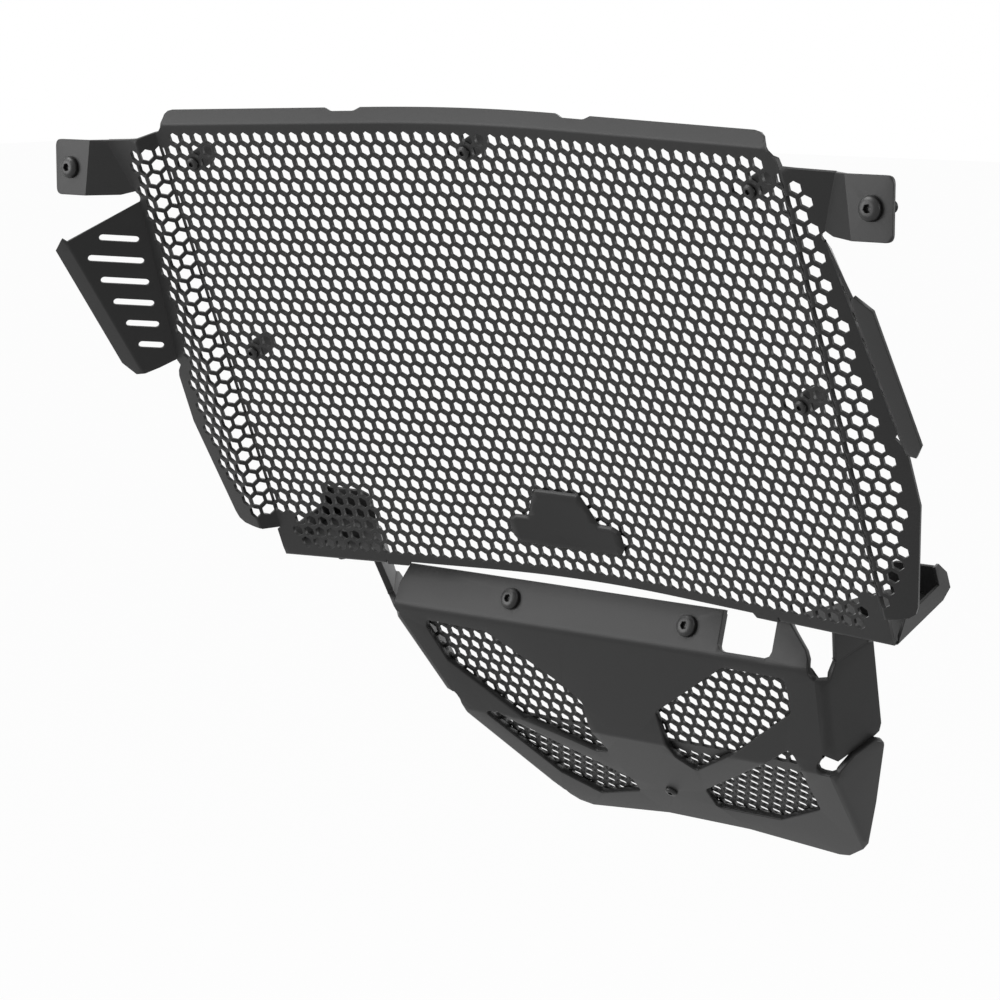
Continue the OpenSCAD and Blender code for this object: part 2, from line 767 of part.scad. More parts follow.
module folded_layer(depth, t, cuts) {
    difference() {
        folded_blank(depth, t);
        in_band() leaf_cutter(0, 2 * wide, cuts);
        in_face() leaf_cutter(-face_len, 0, cuts);
        in_low() translate([0, 0, face_len]) leaf_cutter(-2 * wide, -face_len, cuts);
        in_band() for (x = [-band_screw_x, band_screw_x]) translate([x, 0, band_screw_v])
            rotate([90, 0, 0]) cylinder(d = m5_d + 2 * screw_clear, h = 3 * cut_depth, center = true);
        in_low() translate([mesh_screw_at[0], 0, mesh_screw_at[1] + face_len])
            rotate([90, 0, 0]) cylinder(d = m3_d + 2 * screw_clear, h = 3 * cut_depth, center = true);
    }
}

// Whole holes only, on a lattice that stops short of the sheet's edges
mesh_rows = 9;
mesh_first_v = -13;
mesh_reach = 101;
mesh_taper = 0.36;

function mesh_places() =
    [for (r = [0:mesh_rows - 1]) for (c = [-8:8])
        let (p = [hole_pitch * (c + (r % 2) / 2), mesh_first_v - row_step * r])
        if (abs(p[0] + 2) < mesh_reach + mesh_taper * p[1] && norm(p - mesh_screw_at) > hole_pitch) p];

module mesh_holes() {
    for (p = mesh_places()) translate(p) hexagon(hole_af);
}

band_screw_x = 48;
band_screw_v = 10.4;
mesh_screw_at = [0.5, -96.4];

// Side panel, wing, riser and foot at one end of the lower plate. Each is a
// leaf whose front face runs on from the leaf that it is folded from.
function face_point(x, v) = [
    x,
    lower_y - v * sin(face_lean),
    lower_z + v * cos(face_lean)
];
function low_point(x, v) =
    face_point(0, -face_len) + [x, -v * sin(face_lean + lower_turn), v * cos(face_lean + lower_turn)];
face_back = [0, cos(face_lean), sin(face_lean)];
low_back = [0, cos(face_lean + lower_turn), sin(face_lean + lower_turn)];

// The foot lies under the tray floor; its inner edge runs at a slant
foot_start = [127, 19];
foot_slant = 55;
foot_w = 17;
foot_l = 17;
foot_hole = [foot_w / 2, 10];
joint_at = foot_start + foot_hole[0] * [cos(foot_slant), sin(foot_slant)]
    + foot_hole[1] * [sin(foot_slant), -cos(foot_slant)];

// A place in line with the tray floor, in the panel's own frame, leaned
function tray_point(place, v) = leaned([place[0], tray_y + place[1], v]);

riser_low = [-7.7, 7.1];
riser_high = [-12.1, 22.1];

module lower_side(low_x) {
    a = face_point(116.5, side_top_v);
    b = face_point(low_x, side_low_v);
    ex = unit(b - a);
    out = unit(cross(face_back, ex)) * (cross(face_back, ex)[0] > 0 ? 1 : -1);
    ey = turned(out, ex, -side_turn);
    ez = cross(ex, ey);
    back = ez * face_back > 0 ? 1 : -1;
    mid = a + back * ez * lower_t / 2;
    leaf(mid, ex, ey, lower_t)
        polygon([
            [0, 0], [-3, 1.5], riser_low, riser_high, [-10.5, 24.9], [33, 25], [38.5, 20.8],
            [44, 2.7], [norm(b - a), 0]
        ]);
    // The riser goes up from the slanted top edge to the foot under the tray
    p = mid + riser_low[0] * ex + riser_low[1] * ey;
    q = mid + riser_high[0] * ex + riser_high[1] * ey;
    foot_v = -bottom_v - lower_t / 2;
    m = tray_point(foot_start, foot_v);
    n = tray_point(foot_start + foot_w * [cos(foot_slant), sin(foot_slant)], foot_v);
    rx = unit(q - p);
    toward = (m + n) / 2 - p;
    ry = unit(toward - rx * (rx * toward));
    leaf(p, rx, ry, lower_t) polygon([for (k = [p, q, n, m]) [rx * (k - p), ry * (k - p)]]);
    fold_line(p, q, lower_t);
}

module foot() {
    leaning() translate([foot_start[0], tray_y + foot_start[1], -bottom_v - lower_t])
        rotate([0, 0, foot_slant]) difference() {
            translate([0, -foot_l, 0]) cube([foot_w, foot_l, lower_t]);
            translate([foot_hole[0], -foot_hole[1], -1])
                cylinder(d = m5_d + 2 * screw_clear, h = lower_t + 2);
        }
}

// Wing at the lower end, below the slit
low_round = bend_r * tan(lower_turn / 2);

module low_wing(top_x, low_x) {
    a = low_point(top_x, -low_round);
    b = low_point(low_x, -60.5);
    ex = unit(b - a);
    out = unit(cross(low_back, ex)) * (cross(low_back, ex)[0] > 0 ? 1 : -1);
    ey = turned(out, ex, -low_wing_turn);
    ez = cross(ex, ey);
    back = ez * low_back > 0 ? 1 : -1;
    mid = a + back * ez * lower_t / 2;
    leaf(mid, ex, ey, lower_t)
        polygon([[0, 0], [-4.3, 11.6], [-5.2, 22.5], [-0.4, 25.5], [1.7, 24.8], [34.1, 12.2], [norm(b - a), 0]]);
}

module lower_guard() {
    color(coat) placed() {
        folded_layer(0, lower_t, "windows");
        lower_side(right_low_x);
        low_wing(107.3, 94.6);
        foot();
        mirror([1, 0, 0]) {
            lower_side(-left_low_x);
            low_wing(96, 75);
            foot();
        }
    }
}

module lower_mesh() {
    color(coat_dark) placed() folded_layer(lower_t, mesh_t, "mesh");
}

module band_screw(side) {
    color(steel) placed() in_band() translate([side * band_screw_x, 0, band_screw_v])
        button_screw(m5_d, m5_head_d, m5_head_h, m5_key, lower_t + mesh_t + m5_nut_h);
}

module band_nut(side) {
    color(steel) placed() in_band() translate([side * band_screw_x, lower_t + mesh_t, band_screw_v])
        nut(m5_d, m5_nut_af, m5_nut_h);
}

module mesh_screw() {
    color(steel) placed() in_low() translate([mesh_screw_at[0], 0, mesh_screw_at[1] + face_len])
        button_screw(m3_d, m3_head_d, m3_head_h, m3_key, lower_t + mesh_t + m3_nut_h);
}

module mesh_nut() {
    color(steel) placed() in_low()
        translate([mesh_screw_at[0], lower_t + mesh_t, mesh_screw_at[1] + face_len])
            nut(m3_d, m3_nut_af, m3_nut_h);
}

// Puts children at the joint between a foot and its tray, with Y straight up
module at_joint(side, v) {
    mirror([side < 0 ? 1 : 0, 0, 0]) leaning()
        translate([joint_at[0], tray_y + joint_at[1], v]) rotate([90, 0, 0]) children();
}

module joint_screw(side) {
    color(steel) placed() at_joint(side, -bottom_v - lower_t)
        button_screw(m5_d, m5_head_d, m5_head_h, m5_key, lower_t + sheet_t + m5_nut_h);
}

module joint_nut(side) {
    color(steel) placed() at_joint(side, sheet_t - bottom_v) nut(m5_d, m5_nut_af, m5_nut_h);
}

upper_guard();
badge_plate();
ear_screw(-1);  // ear_screw_left
ear_screw(1);  // ear_screw_right
bumper_screw(0);  // bumper_screw_1
bumper_screw(1);  // bumper_screw_2
bumper_screw(2);  // bumper_screw_3
bumper_screw(3);  // bumper_screw_4
bumper_screw(4);  // bumper_screw_5
bumper(0);  // bumper_1
bumper(1);  // bumper_2
bumper(2);  // bumper_3
bumper(3);  // bumper_4
bumper(4);  // bumper_5
bumper_nut(0);  // bumper_nut_1
bumper_nut(1);  // bumper_nut_2
bumper_nut(2);  // bumper_nut_3
bumper_nut(3);  // bumper_nut_4
bumper_nut(4);  // bumper_nut_5
lower_guard();
lower_mesh();
band_screw(-1);  // band_screw_left
band_screw(1);  // band_screw_right
band_nut(-1);  // band_nut_left
band_nut(1);  // band_nut_right
mesh_screw();
mesh_nut();
joint_screw(-1);  // joint_screw_left
joint_screw(1);  // joint_screw_right
joint_nut(-1);  // joint_nut_left
joint_nut(1);  // joint_nut_right
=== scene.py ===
# %% [markdown]
# # A folded stone guard for a motorcycle radiator
# The guard is two folded aluminium plates with a satin black powder coat. The upper one is a
# thin sheet cut into a honeycomb, the lower one a thick plate with four windows and a second
# honeycomb sheet behind it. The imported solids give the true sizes. Here each plate is cut again
# with its real, finer honeycomb and with softly rounded edges, which is where coated metal
# catches the light.

# %% Load the solids
import math

import bpy
import numpy as np
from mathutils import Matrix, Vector
from mathutils.geometry import delaunay_2d_cdt


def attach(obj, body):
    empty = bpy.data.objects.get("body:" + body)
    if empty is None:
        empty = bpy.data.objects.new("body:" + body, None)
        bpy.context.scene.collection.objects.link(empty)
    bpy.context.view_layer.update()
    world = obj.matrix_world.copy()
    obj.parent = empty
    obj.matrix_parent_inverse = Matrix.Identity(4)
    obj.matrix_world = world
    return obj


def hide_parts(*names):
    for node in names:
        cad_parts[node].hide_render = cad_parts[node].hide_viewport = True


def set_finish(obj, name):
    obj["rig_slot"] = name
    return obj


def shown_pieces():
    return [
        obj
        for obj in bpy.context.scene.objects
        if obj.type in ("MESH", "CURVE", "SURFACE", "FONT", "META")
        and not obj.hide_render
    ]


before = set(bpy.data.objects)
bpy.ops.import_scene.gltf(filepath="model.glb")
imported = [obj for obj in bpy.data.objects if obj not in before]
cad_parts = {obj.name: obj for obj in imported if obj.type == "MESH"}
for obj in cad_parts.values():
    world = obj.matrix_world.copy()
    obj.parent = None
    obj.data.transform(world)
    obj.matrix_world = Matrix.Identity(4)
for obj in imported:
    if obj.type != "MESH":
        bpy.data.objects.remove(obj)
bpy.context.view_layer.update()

# %% [markdown]
# ## Flat first, then folded
# The real plates start as flat blanks: an outline and its holes are cut by a laser, and a press
# folds the blank afterwards. The same order works here. A blank is drawn in millimetres, across
# and up, and a place function then says where each point of it, at each depth in the sheet, goes
# in space. Only the place function knows about bends, so the honeycomb stays a plain flat grid.

# %% Small helpers
MM = 0.001
EAR_X, EAR_Z = 208.2, -17.8
TO_ORIGIN = np.array([EAR_X, 17.0, -EAR_Z])
M5_BORE, M3_BORE = 5.4, 3.4


def unit(a):
    """Each vector divided by its own length."""
    return a / np.linalg.norm(a, axis=-1, keepdims=True)


def grown(loops, by):
    """Closed loops, (how many, corners, 2), with side i moved outward by by[i]. A corner goes to
    the crossing of its two moved sides: m with m.n1 = d1 and m.n2 = d2 for the normals n1, n2."""
    by = np.broadcast_to(np.asarray(by, float), loops.shape[:2])[..., None]
    side = np.roll(loops, -1, 1) - loops
    n2 = unit(np.stack([side[..., 1], -side[..., 0]], -1))
    n1, d1, d2 = np.roll(n2, 1, 1), np.roll(by, 1, 1), by
    c = (n1 * n2).sum(-1, keepdims=True)
    s2 = np.maximum(1 - c * c, 1e-9)
    corner = (n1 * (d1 - d2 * c) + n2 * (d2 - d1 * c)) / s2
    straight = (n1 + n2) / 2 * np.maximum(d1, d2)
    return loops + np.where(s2 > 2e-3, corner, straight)


def inside(points, loop):
    """Even-odd rule: a point is inside if a ray to its right crosses the loop an odd number of times."""
    a, b = loop, np.roll(loop, -1, 0)
    x, y = points[:, :1], points[:, 1:]
    spans = (a[:, 1] > y) != (b[:, 1] > y)
    rise = np.where(b[:, 1] == a[:, 1], 1, b[:, 1] - a[:, 1])
    return (spans & (x < a[:, 0] + (y - a[:, 1]) / rise * (b[:, 0] - a[:, 0]))).sum(1) % 2 == 1


def rounded(points, radius, steps=5):
    """Corners of a loop rounded: each becomes a parabola between its two tangent points, which
    keep to 0.45 of the shorter side."""
    p = np.asarray(points, float)
    before, after = np.roll(p, 1, 0) - p, np.roll(p, -1, 0) - p
    u, w = unit(before), unit(after)
    half = np.arccos(np.clip((u * w).sum(1), -1, 1)) / 2
    room = np.minimum(np.linalg.norm(before, axis=1), np.linalg.norm(after, axis=1))
    cut = np.minimum(radius / np.tan(half), 0.45 * room)[:, None]
    k = np.linspace(0, 1, steps)[:, None, None]
    curve = (1 - k) ** 2 * (p + cut * u) + 2 * k * (1 - k) * p + k ** 2 * (p + cut * w)
    return curve.transpose(1, 0, 2).reshape(-1, 2)


def disc(x, y, d, n=24):
    """A round hole's loop: centre plus radius times (cos, sin), listed clockwise as holes are."""
    t = -np.linspace(0, 2 * np.pi, n, endpoint=False)
    return np.stack([x + d / 2 * np.cos(t), y + d / 2 * np.sin(t)], 1)


def hexagons(centres, across):
    """Pointy-topped hexagon loops round the centres, clockwise; across is flat to flat."""
    t = np.radians(90 - 60 * np.arange(6))
    ring = across / math.sqrt(3) * np.stack([np.cos(t), np.sin(t)], 1)
    return np.asarray(centres, float)[:, None, :] + ring[None]


print("points round an M5 bore:", len(disc(0, 0, M5_BORE)), "round a hexagon:", len(hexagons([[0, 0]], 1)[0]))

# %% [markdown]
# ## Cutting a sheet
# A laser leaves a square edge, and the powder coat flows round it. So each edge gets a small
# slanted face whose shading blends into its neighbours. The flat faces are triangulated between
# the outline and the holes, and every loop gets three narrow bands down its wall.

# %% Cut a sheet out of a blank
def side_links(blocks):
    """Index of each loop point and of the next one on its loop, over all blocks of equal loops."""
    here, there, base = [], [], 0
    for b in blocks:
        i = base + np.arange(b.shape[0] * b.shape[1]).reshape(b.shape[:2])
        here.append(i.ravel())
        there.append(np.roll(i, -1, 1).ravel())
        base += i.size
    return np.concatenate(here), np.concatenate(there)


def in_comb(points, centres, reach, batch=2000):
    """Whether each point is in the hexagon round its nearest centre: |x| and |x|/2 + |y| sqrt(3)/2
    are both within reach. The points go through in batches, to keep the arrays small."""
    hit = np.zeros(len(points), bool)
    for i in range(0, len(points), batch):
        m = points[i:i + batch]
        near = ((m[:, None] - centres[None]) ** 2).sum(-1).argmin(1)
        d = np.abs(m - centres[near])
        hit[i:i + batch] = (d[:, 0] <= reach) & (d[:, 0] / 2 + d[:, 1] * math.sqrt(0.75) <= reach)
    return hit


def cut_sheet(outline, place, thick, holes=(), comb=(), across=0.0, edge=0.25, joins=None, extra=None):
    """A folded sheet as (vertices, triangles, quads), in mm. Rings: front face, wall under the
    rounded edge, wall above the rear one, rear face. A side in joins runs on into the next leaf,
    so it moves by its own amount and gets no wall. extra are more points for the flat faces."""
    outline = np.asarray(outline, float)
    plain = np.ones(len(outline), bool)
    wall_by, face_by = np.zeros(len(outline)), np.full(len(outline), -edge)
    for side, by in (joins or {}).items():
        plain[side], wall_by[side], face_by[side] = False, by, by
    walls = [grown(outline[None], wall_by)] + [np.asarray(h, float)[None] for h in holes]
    faces = [grown(outline[None], face_by)] + [grown(np.asarray(h, float)[None], -edge) for h in holes]
    keep = [plain] + [np.ones(len(h), bool) for h in holes]
    if len(comb):
        hexes = hexagons(comb, across)
        walls.append(hexes)
        faces.append(grown(hexes, -edge))
        keep.append(np.ones(hexes.shape[0] * 6, bool))
    here, there = side_links(walls)
    keep = np.concatenate(keep)
    wall = np.concatenate([w.reshape(-1, 2) for w in walls])
    face = np.concatenate([f.reshape(-1, 2) for f in faces])
    flat = face if extra is None else np.concatenate([face, extra])
    sides = np.stack([here, there], 1).tolist()
    got = delaunay_2d_cdt([Vector(p) for p in flat.tolist()], sides, [], 0, 1e-5)
    new = np.array([[p.x, p.y] for p in got[0]])
    source = np.array([o[0] if o else -1 for o in got[3]])
    added = np.flatnonzero(source < 0)
    source[added] = len(flat) + np.arange(len(added))
    flat = np.concatenate([flat, new[added]])
    tri = source[np.array(got[2])]
    mid = flat[tri].mean(1)
    a, b, c = flat[tri[:, 0]], flat[tri[:, 1]], flat[tri[:, 2]]
    area = (b[:, 0] - a[:, 0]) * (c[:, 1] - a[:, 1]) - (b[:, 1] - a[:, 1]) * (c[:, 0] - a[:, 0])
    ok = inside(mid, faces[0][0]) & (np.abs(area) > 1e-7)
    for f in faces[1:1 + len(holes)]:
        ok &= ~inside(mid, f[0])
    if len(comb):
        ok &= ~in_comb(mid, np.asarray(comb, float), across / 2 + edge - 1e-6)
    tri = np.where((area < 0)[:, None], tri[:, ::-1], tri)[ok]
    n, m = len(flat), len(wall)
    rings = [place(flat, 0.0), place(flat, thick), place(wall, edge), place(wall, thick - edge)]
    front, rear, upper, lower = 0, n, 2 * n, 2 * n + m
    i, j = here[keep], there[keep]
    bands = [(front, upper), (upper, lower), (lower, rear)]
    quads = np.concatenate([np.stack([i + q, j + q, j + p, i + p], 1) for p, q in bands])
    return np.concatenate(rings), np.concatenate([tri, tri[:, ::-1] + n]), quads


washer_rim, washer_bore = disc(0, 0, 10)[::-1], disc(0, 0, M5_BORE)
washer = cut_sheet(washer_rim, lambda p, depth: np.insert(p, 1, depth, 1), 1.5, [washer_bore])
print("points, triangles and quads of a washer cut this way:", [len(a) for a in washer])

# %% [markdown]
# A piece is a few such sheets in one mesh. All faces are smooth, real edges are marked sharp, and
# a Weighted Normal modifier keeps the flats flat, so that only the narrow bands show a gradient.

# %% From arrays to a piece
def mirrored(part):
    """The same part on the other side: x changes sign, and each face runs the other way round."""
    v, t, q = part
    return v * np.array([-1.0, 1, 1]), t[:, ::-1], q[:, ::-1]


def both(part):
    """A part and its mirror image."""
    return [part, mirrored(part)]


def make_piece(name, parts, stands_for, slot, smooth=50):
    """Joins parts into one mesh in metres, as the finished form of the nodes in stands_for. Edges
    sharper than smooth degrees stay sharp."""
    verts, sizes, index, base = [], [], [], 0
    for v, t, q in parts:
        used = np.unique(np.concatenate([t.ravel(), q.ravel()]).astype(int))
        back = np.zeros(len(v), int)
        back[used] = np.arange(len(used)) + base
        verts.append(v[used])
        index += [back[t.astype(int)].ravel(), back[q.astype(int)].ravel()]
        sizes += [np.full(len(t), 3), np.full(len(q), 4)]
        base += len(used)
    verts, sizes, index = np.concatenate(verts), np.concatenate(sizes), np.concatenate(index)
    mesh = bpy.data.meshes.new(name)
    mesh.vertices.add(len(verts))
    mesh.vertices.foreach_set("co", ((verts + TO_ORIGIN) * MM).ravel())
    mesh.loops.add(len(index))
    mesh.loops.foreach_set("vertex_index", index.astype(np.int32))
    mesh.polygons.add(len(sizes))
    mesh.polygons.foreach_set("loop_start", (np.cumsum(sizes) - sizes).astype(np.int32))
    mesh.update(calc_edges=True)
    mesh.validate()
    mesh.polygons.foreach_set("use_smooth", np.ones(len(mesh.polygons), bool))
    mesh.set_sharp_from_angle(angle=math.radians(smooth))
    piece = bpy.data.objects.new(name, mesh)
    bpy.context.scene.collection.objects.link(piece)
    even = piece.modifiers.new("even_light", "WEIGHTED_NORMAL")
    even.keep_sharp = True
    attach(piece, "root")
    if stands_for:
        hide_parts(*stands_for)
    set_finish(piece, slot)
    print(name, "triangles:", int((sizes - 2).sum()))


# %% [markdown]
# ## One bend, used everywhere
# Seen from its end, a fold is a short curve between two straight lines. A point q mm past the
# fold line stays on the first line before the curve, lies on the curve near the line, and is on
# the turned line beyond it. The curve is a parabola, which a press brake's radius is close to.

# %% The bend
def bend(q, turn, soft):
    """Along, off and angle (radians) for distance q past a fold of turn degrees. Within soft of
    the line the point is (1-k)^2 a + 2k(1-k) 0 + k^2 b, with a = (-soft, 0), b = soft at turn."""
    turn = np.radians(turn)
    k = np.clip((q + soft) / (2 * soft), 0, 1)
    beyond, before = np.maximum(q - soft, 0), np.minimum(q + soft, 0)
    along = -(1 - k) ** 2 * soft + k ** 2 * soft * np.cos(turn) + beyond * np.cos(turn) + before
    off = k ** 2 * soft * np.sin(turn) + beyond * np.sin(turn)
    return along, off, np.arctan2(k * np.sin(turn), (1 - k) + k * np.cos(turn))


past_fold = bend(np.array([3.0]), 90, 1.0)
print("3 mm past a soft right angle, along, off and angle:", [round(float(x[0]), 2) for x in past_fold])


def leaf_on(a, b, out, turn, half, soft):
    """Place function of a leaf folded off its neighbour along the line a to b. The neighbour runs
    on in direction out; a positive turn folds to the front. half is how far a and b lie behind
    the front face. Leaf coordinates: along the line from a, and outward from it."""
    ex = unit(b - a)
    out = unit(out - ex * (out @ ex))
    front = np.cross(ex, out)

    def place(p, depth):
        along, off, angle = bend(p[:, 1], turn, soft)
        normal = np.cos(angle)[:, None] * front - np.sin(angle)[:, None] * out
        return a + p[:, :1] * ex + along[:, None] * out + off[:, None] * front + (half - depth) * normal

    r = math.radians(turn)
    place.ex, place.out = ex, math.cos(r) * out + math.sin(r) * front
    place.front = math.cos(r) * front - math.sin(r) * out
    place.at = lambda u, w: a + u * ex + w * place.out
    place.flat = lambda p: np.array([(p - a) @ ex, (p - a) @ place.out])
    return place


def ordered(points):
    """The loop, anticlockwise."""
    p = np.asarray(points, float)
    q = np.roll(p, -1, 0)
    return p if (p[:, 0] * q[:, 1] - p[:, 1] * q[:, 0]).sum() > 0 else p[::-1]


# %% [markdown]
# ## The upper panel
# The panel is softly bent down its middle, runs flat to each side, turns forward along a narrow
# strip and back again along a side strip, and leans 22.5 degrees with its top forward. A flange
# along the top and a tray floor at each bottom corner turn backward. One place function holds all
# of these, because they all lie on one blank.

# %% Where a point of the upper blank goes
SHEET = 1.5
BEND_R, HALF_TURN = 580.0, 4.8
FLAT_FROM = BEND_R * math.radians(HALF_TURN)
FOLD_1, FOLD_2, STRIP_TURN, SIDE_TURN = 162.5, 171.5, 42.3, -55.8
STRIP_AT = HALF_TURN + STRIP_TURN
TOP_FOLD, FLOOR_FOLD, LEAN = 6.4, -204.25, 22.5
FLANGE_TURN, FLANGE_SOFT, TRAY_SOFT, SIDE_SOFT = 34.7, 0.6, 1.0, 0.46
TRAY_FROM, SLIT_V = 106.65, -190.45


def heading(deg):
    """Direction seen from above after turning deg forward from straight across."""
    return np.stack([np.cos(np.radians(deg)), -np.sin(np.radians(deg))], -1)


def facing(deg):
    """Front normal of a sheet that runs along heading(deg)."""
    return np.stack([-np.sin(np.radians(deg)), -np.cos(np.radians(deg))], -1)


def round_part(s):
    """Place from above on the soft bend: radius times (sin, cos - 1) of s over the radius."""
    t = s / BEND_R
    return np.stack([BEND_R * np.sin(t), BEND_R * (np.cos(t) - 1)], -1)


EDGE_0 = round_part(np.array(FLAT_FROM))
EDGE_1 = EDGE_0 + (FOLD_1 - FLAT_FROM) * heading(HALF_TURN)
EDGE_2 = EDGE_1 + (FOLD_2 - FOLD_1) * heading(STRIP_AT)


def plan(s, folded):
    """Place from above and heading in degrees, for distance s >= 0 from the middle: an arc, a
    straight, and after each fold line the bend formula in the axes of the leaf before it."""
    arc = s < FLAT_FROM
    straight = EDGE_0 + (s - FLAT_FROM)[:, None] * heading(HALF_TURN)
    where = np.where(arc[:, None], round_part(s), straight)
    turn = np.where(arc, np.degrees(s / BEND_R), HALF_TURN)
    folds = (EDGE_1, FOLD_1, HALF_TURN, STRIP_TURN), (EDGE_2, FOLD_2, STRIP_AT, SIDE_TURN)
    for edge, line, at, by in folds:
        along, off, angle = bend(s - line, by, SIDE_SOFT)
        use = folded & (s > line - 1)
        bent = edge + along[:, None] * heading(at) + off[:, None] * facing(at)
        where = np.where(use[:, None], bent, where)
        turn = np.where(use, at + np.degrees(angle), turn)
    return where, turn


def leaned(p):
    """Turned about the X axis by the lean of the panel."""
    c, s = math.cos(math.radians(LEAN)), math.sin(math.radians(LEAN))
    return np.stack([p[..., 0], p[..., 1] * c - p[..., 2] * s, p[..., 1] * s + p[..., 2] * c], -1)


def on_panel(p, depth):
    """Across and up on the blank to space. The top flange turns back by 34.7 degrees past its
    fold and the tray floors by 90 below theirs; depth runs backward from the front face."""
    side, s, v = np.where(p[:, 0] < 0, -1.0, 1.0), np.abs(p[:, 0]), p[:, 1]
    where, turn = plan(s, v > SLIT_V)
    normal = facing(turn)
    up, back, tilt = bend(v - TOP_FOLD, FLANGE_TURN, FLANGE_SOFT)
    up = up + TOP_FOLD
    down, rear, tip = bend(FLOOR_FOLD - v, 90, TRAY_SOFT)
    floor = (s > TRAY_FROM) & (v < FLOOR_FOLD + 1.2 * TRAY_SOFT)
    up = np.where(floor, FLOOR_FOLD - down, up)
    back = np.where(floor, rear, back)
    tilt = np.where(floor, -tip, tilt)
    front = np.concatenate([normal * np.cos(tilt)[:, None], np.sin(tilt)[:, None]], 1)
    flat = np.concatenate([where - normal * back[:, None], up[:, None]], 1)
    flat = flat + (SHEET / 2 - depth) * front
    return leaned(flat * np.stack([side, np.ones_like(side), np.ones_like(side)], 1))


print("ends of the panel, mm:", np.round(on_panel(np.array([[0, 0], [197, -115]]), 0.0), 1).tolist())

# %% [markdown]
# The honeycomb was counted on the photograph: holes 6.5 mm apart in rows 5.63 mm apart. Rows end
# where the folds are, and a thin bridge follows the inner fold across the holes that lie on it.

# %% The honeycomb of the upper blank
PITCH, ROW, HOLE = 6.5, 6.5 * math.sqrt(0.75), 4.9


def row_of(r, first, last):
    """Hole centres of row r, counted down from the top, from column first to column last."""
    c = np.arange(first, last + 0.5)
    return np.stack([PITCH * c, np.full(len(c), -ROW * r)], 1)


EVEN_ROWS, ODD_ROWS = range(2, 33, 2), range(1, 32, 2)
comb = [row_of(0, -23.5, 23.5), row_of(34, -23.5, 23.5), row_of(33, -23, 23), row_of(35, -23, 23)]
comb += [row_of(r, -24.5, 24.5) for r in EVEN_ROWS]
comb += [row_of(r, -24, 24) for r in ODD_ROWS]
strip = [(25.5, EVEN_ROWS), (27.5, range(2, 31, 2)), (27, ODD_ROWS), (28, range(11, 30, 2)),
         (28.5, range(16, 29, 2)), (29, range(21, 26, 2))]
comb += [np.array([[side * PITCH * c, -ROW * r] for r in rows]) for c, rows in strip for side in (-1, 1)]
comb = np.concatenate(comb)
print("whole honeycomb holes:", len(comb))

# %% [markdown]
# Holes on the outer fold get extra corners there, so that they bend with the sheet. Holes on the
# inner fold are two halves, with the bridge between them.

# %% Holes on the folds
def split(loop, s_values):
    """A loop with points added where it crosses the given distances from the middle."""
    out = []
    for a, b in zip(loop, np.roll(loop, -1, 0)):
        out.append(a)
        hits = [(t, a + t * (b - a)) for s in s_values if abs(b[0] - a[0]) > 1e-9
                for t in [(s - a[0]) / (b[0] - a[0])] if 0.02 < t < 0.98]
        out += [h for _, h in sorted(hits, key=lambda x: x[0])]
    return np.array(out)


ridge = [FOLD_2 - SIDE_SOFT, FOLD_2, FOLD_2 + SIDE_SOFT]
odd_holes = []
for c, rows in ((26, ODD_ROWS), (26.5, EVEN_ROWS)):
    for r in rows:
        loop = split(hexagons([[PITCH * c, -ROW * r]], HOLE)[0], ridge)
        odd_holes += [loop, (loop * [-1, 1])[::-1]]
BRIDGE = 0.5
for r in ODD_ROWS:
    y, h = -ROW * r, HOLE / math.sqrt(3)
    cut = h - BRIDGE / math.sqrt(3)
    left = np.array([[FOLD_1 - BRIDGE, y + cut], [FOLD_1 - BRIDGE, y - cut],
                     [FOLD_1 - HOLE / 2, y - h / 2], [FOLD_1 - HOLE / 2, y + h / 2]])
    for loop in (left, (left * [-1, 1] + [2 * FOLD_1, 0])[::-1]):
        odd_holes += [loop, (loop * [-1, 1])[::-1]]
print("honeycomb holes:", len(comb) + len(odd_holes))

# %% [markdown]
# The outline runs once round the whole blank: tray floor, bottom edge, side strip with its relief
# notches, the slanted sides that the ear and the deflector fold off, and the flange with its two
# shallow notches. Small slits stand where real folds need relief.

# %% The outline of the upper blank
FLAT_DIR, FLAT_BACK = heading(HALF_TURN), -facing(HALF_TURN)
TRAY_Y = (EDGE_1 + (164.7 - FOLD_1) * FLAT_DIR)[1]
TRAY_IN, TRAY_OUT, TRAY_NEAR, TRAY_REAR = 139.7, 165.5, 2, 37
FOOT_AT, FOOT_SLANT = np.array([127.0, 19.0]), math.radians(55)
FOOT_DIR = np.array([math.cos(FOOT_SLANT), math.sin(FOOT_SLANT)])
FOOT_OUT = np.array([math.sin(FOOT_SLANT), -math.cos(FOOT_SLANT)])
SCREW_ALONG, SCREW_OUT = 8.5, 10
JOINT = FOOT_AT + SCREW_ALONG * FOOT_DIR + SCREW_OUT * FOOT_OUT


def floor_place(x, y):
    """A place on the tray floor, from above, as a place on the blank."""
    d = np.array([x, TRAY_Y + y]) - EDGE_0
    return [FLAT_FROM + d @ FLAT_DIR, FLOOR_FOLD - d @ FLAT_BACK]


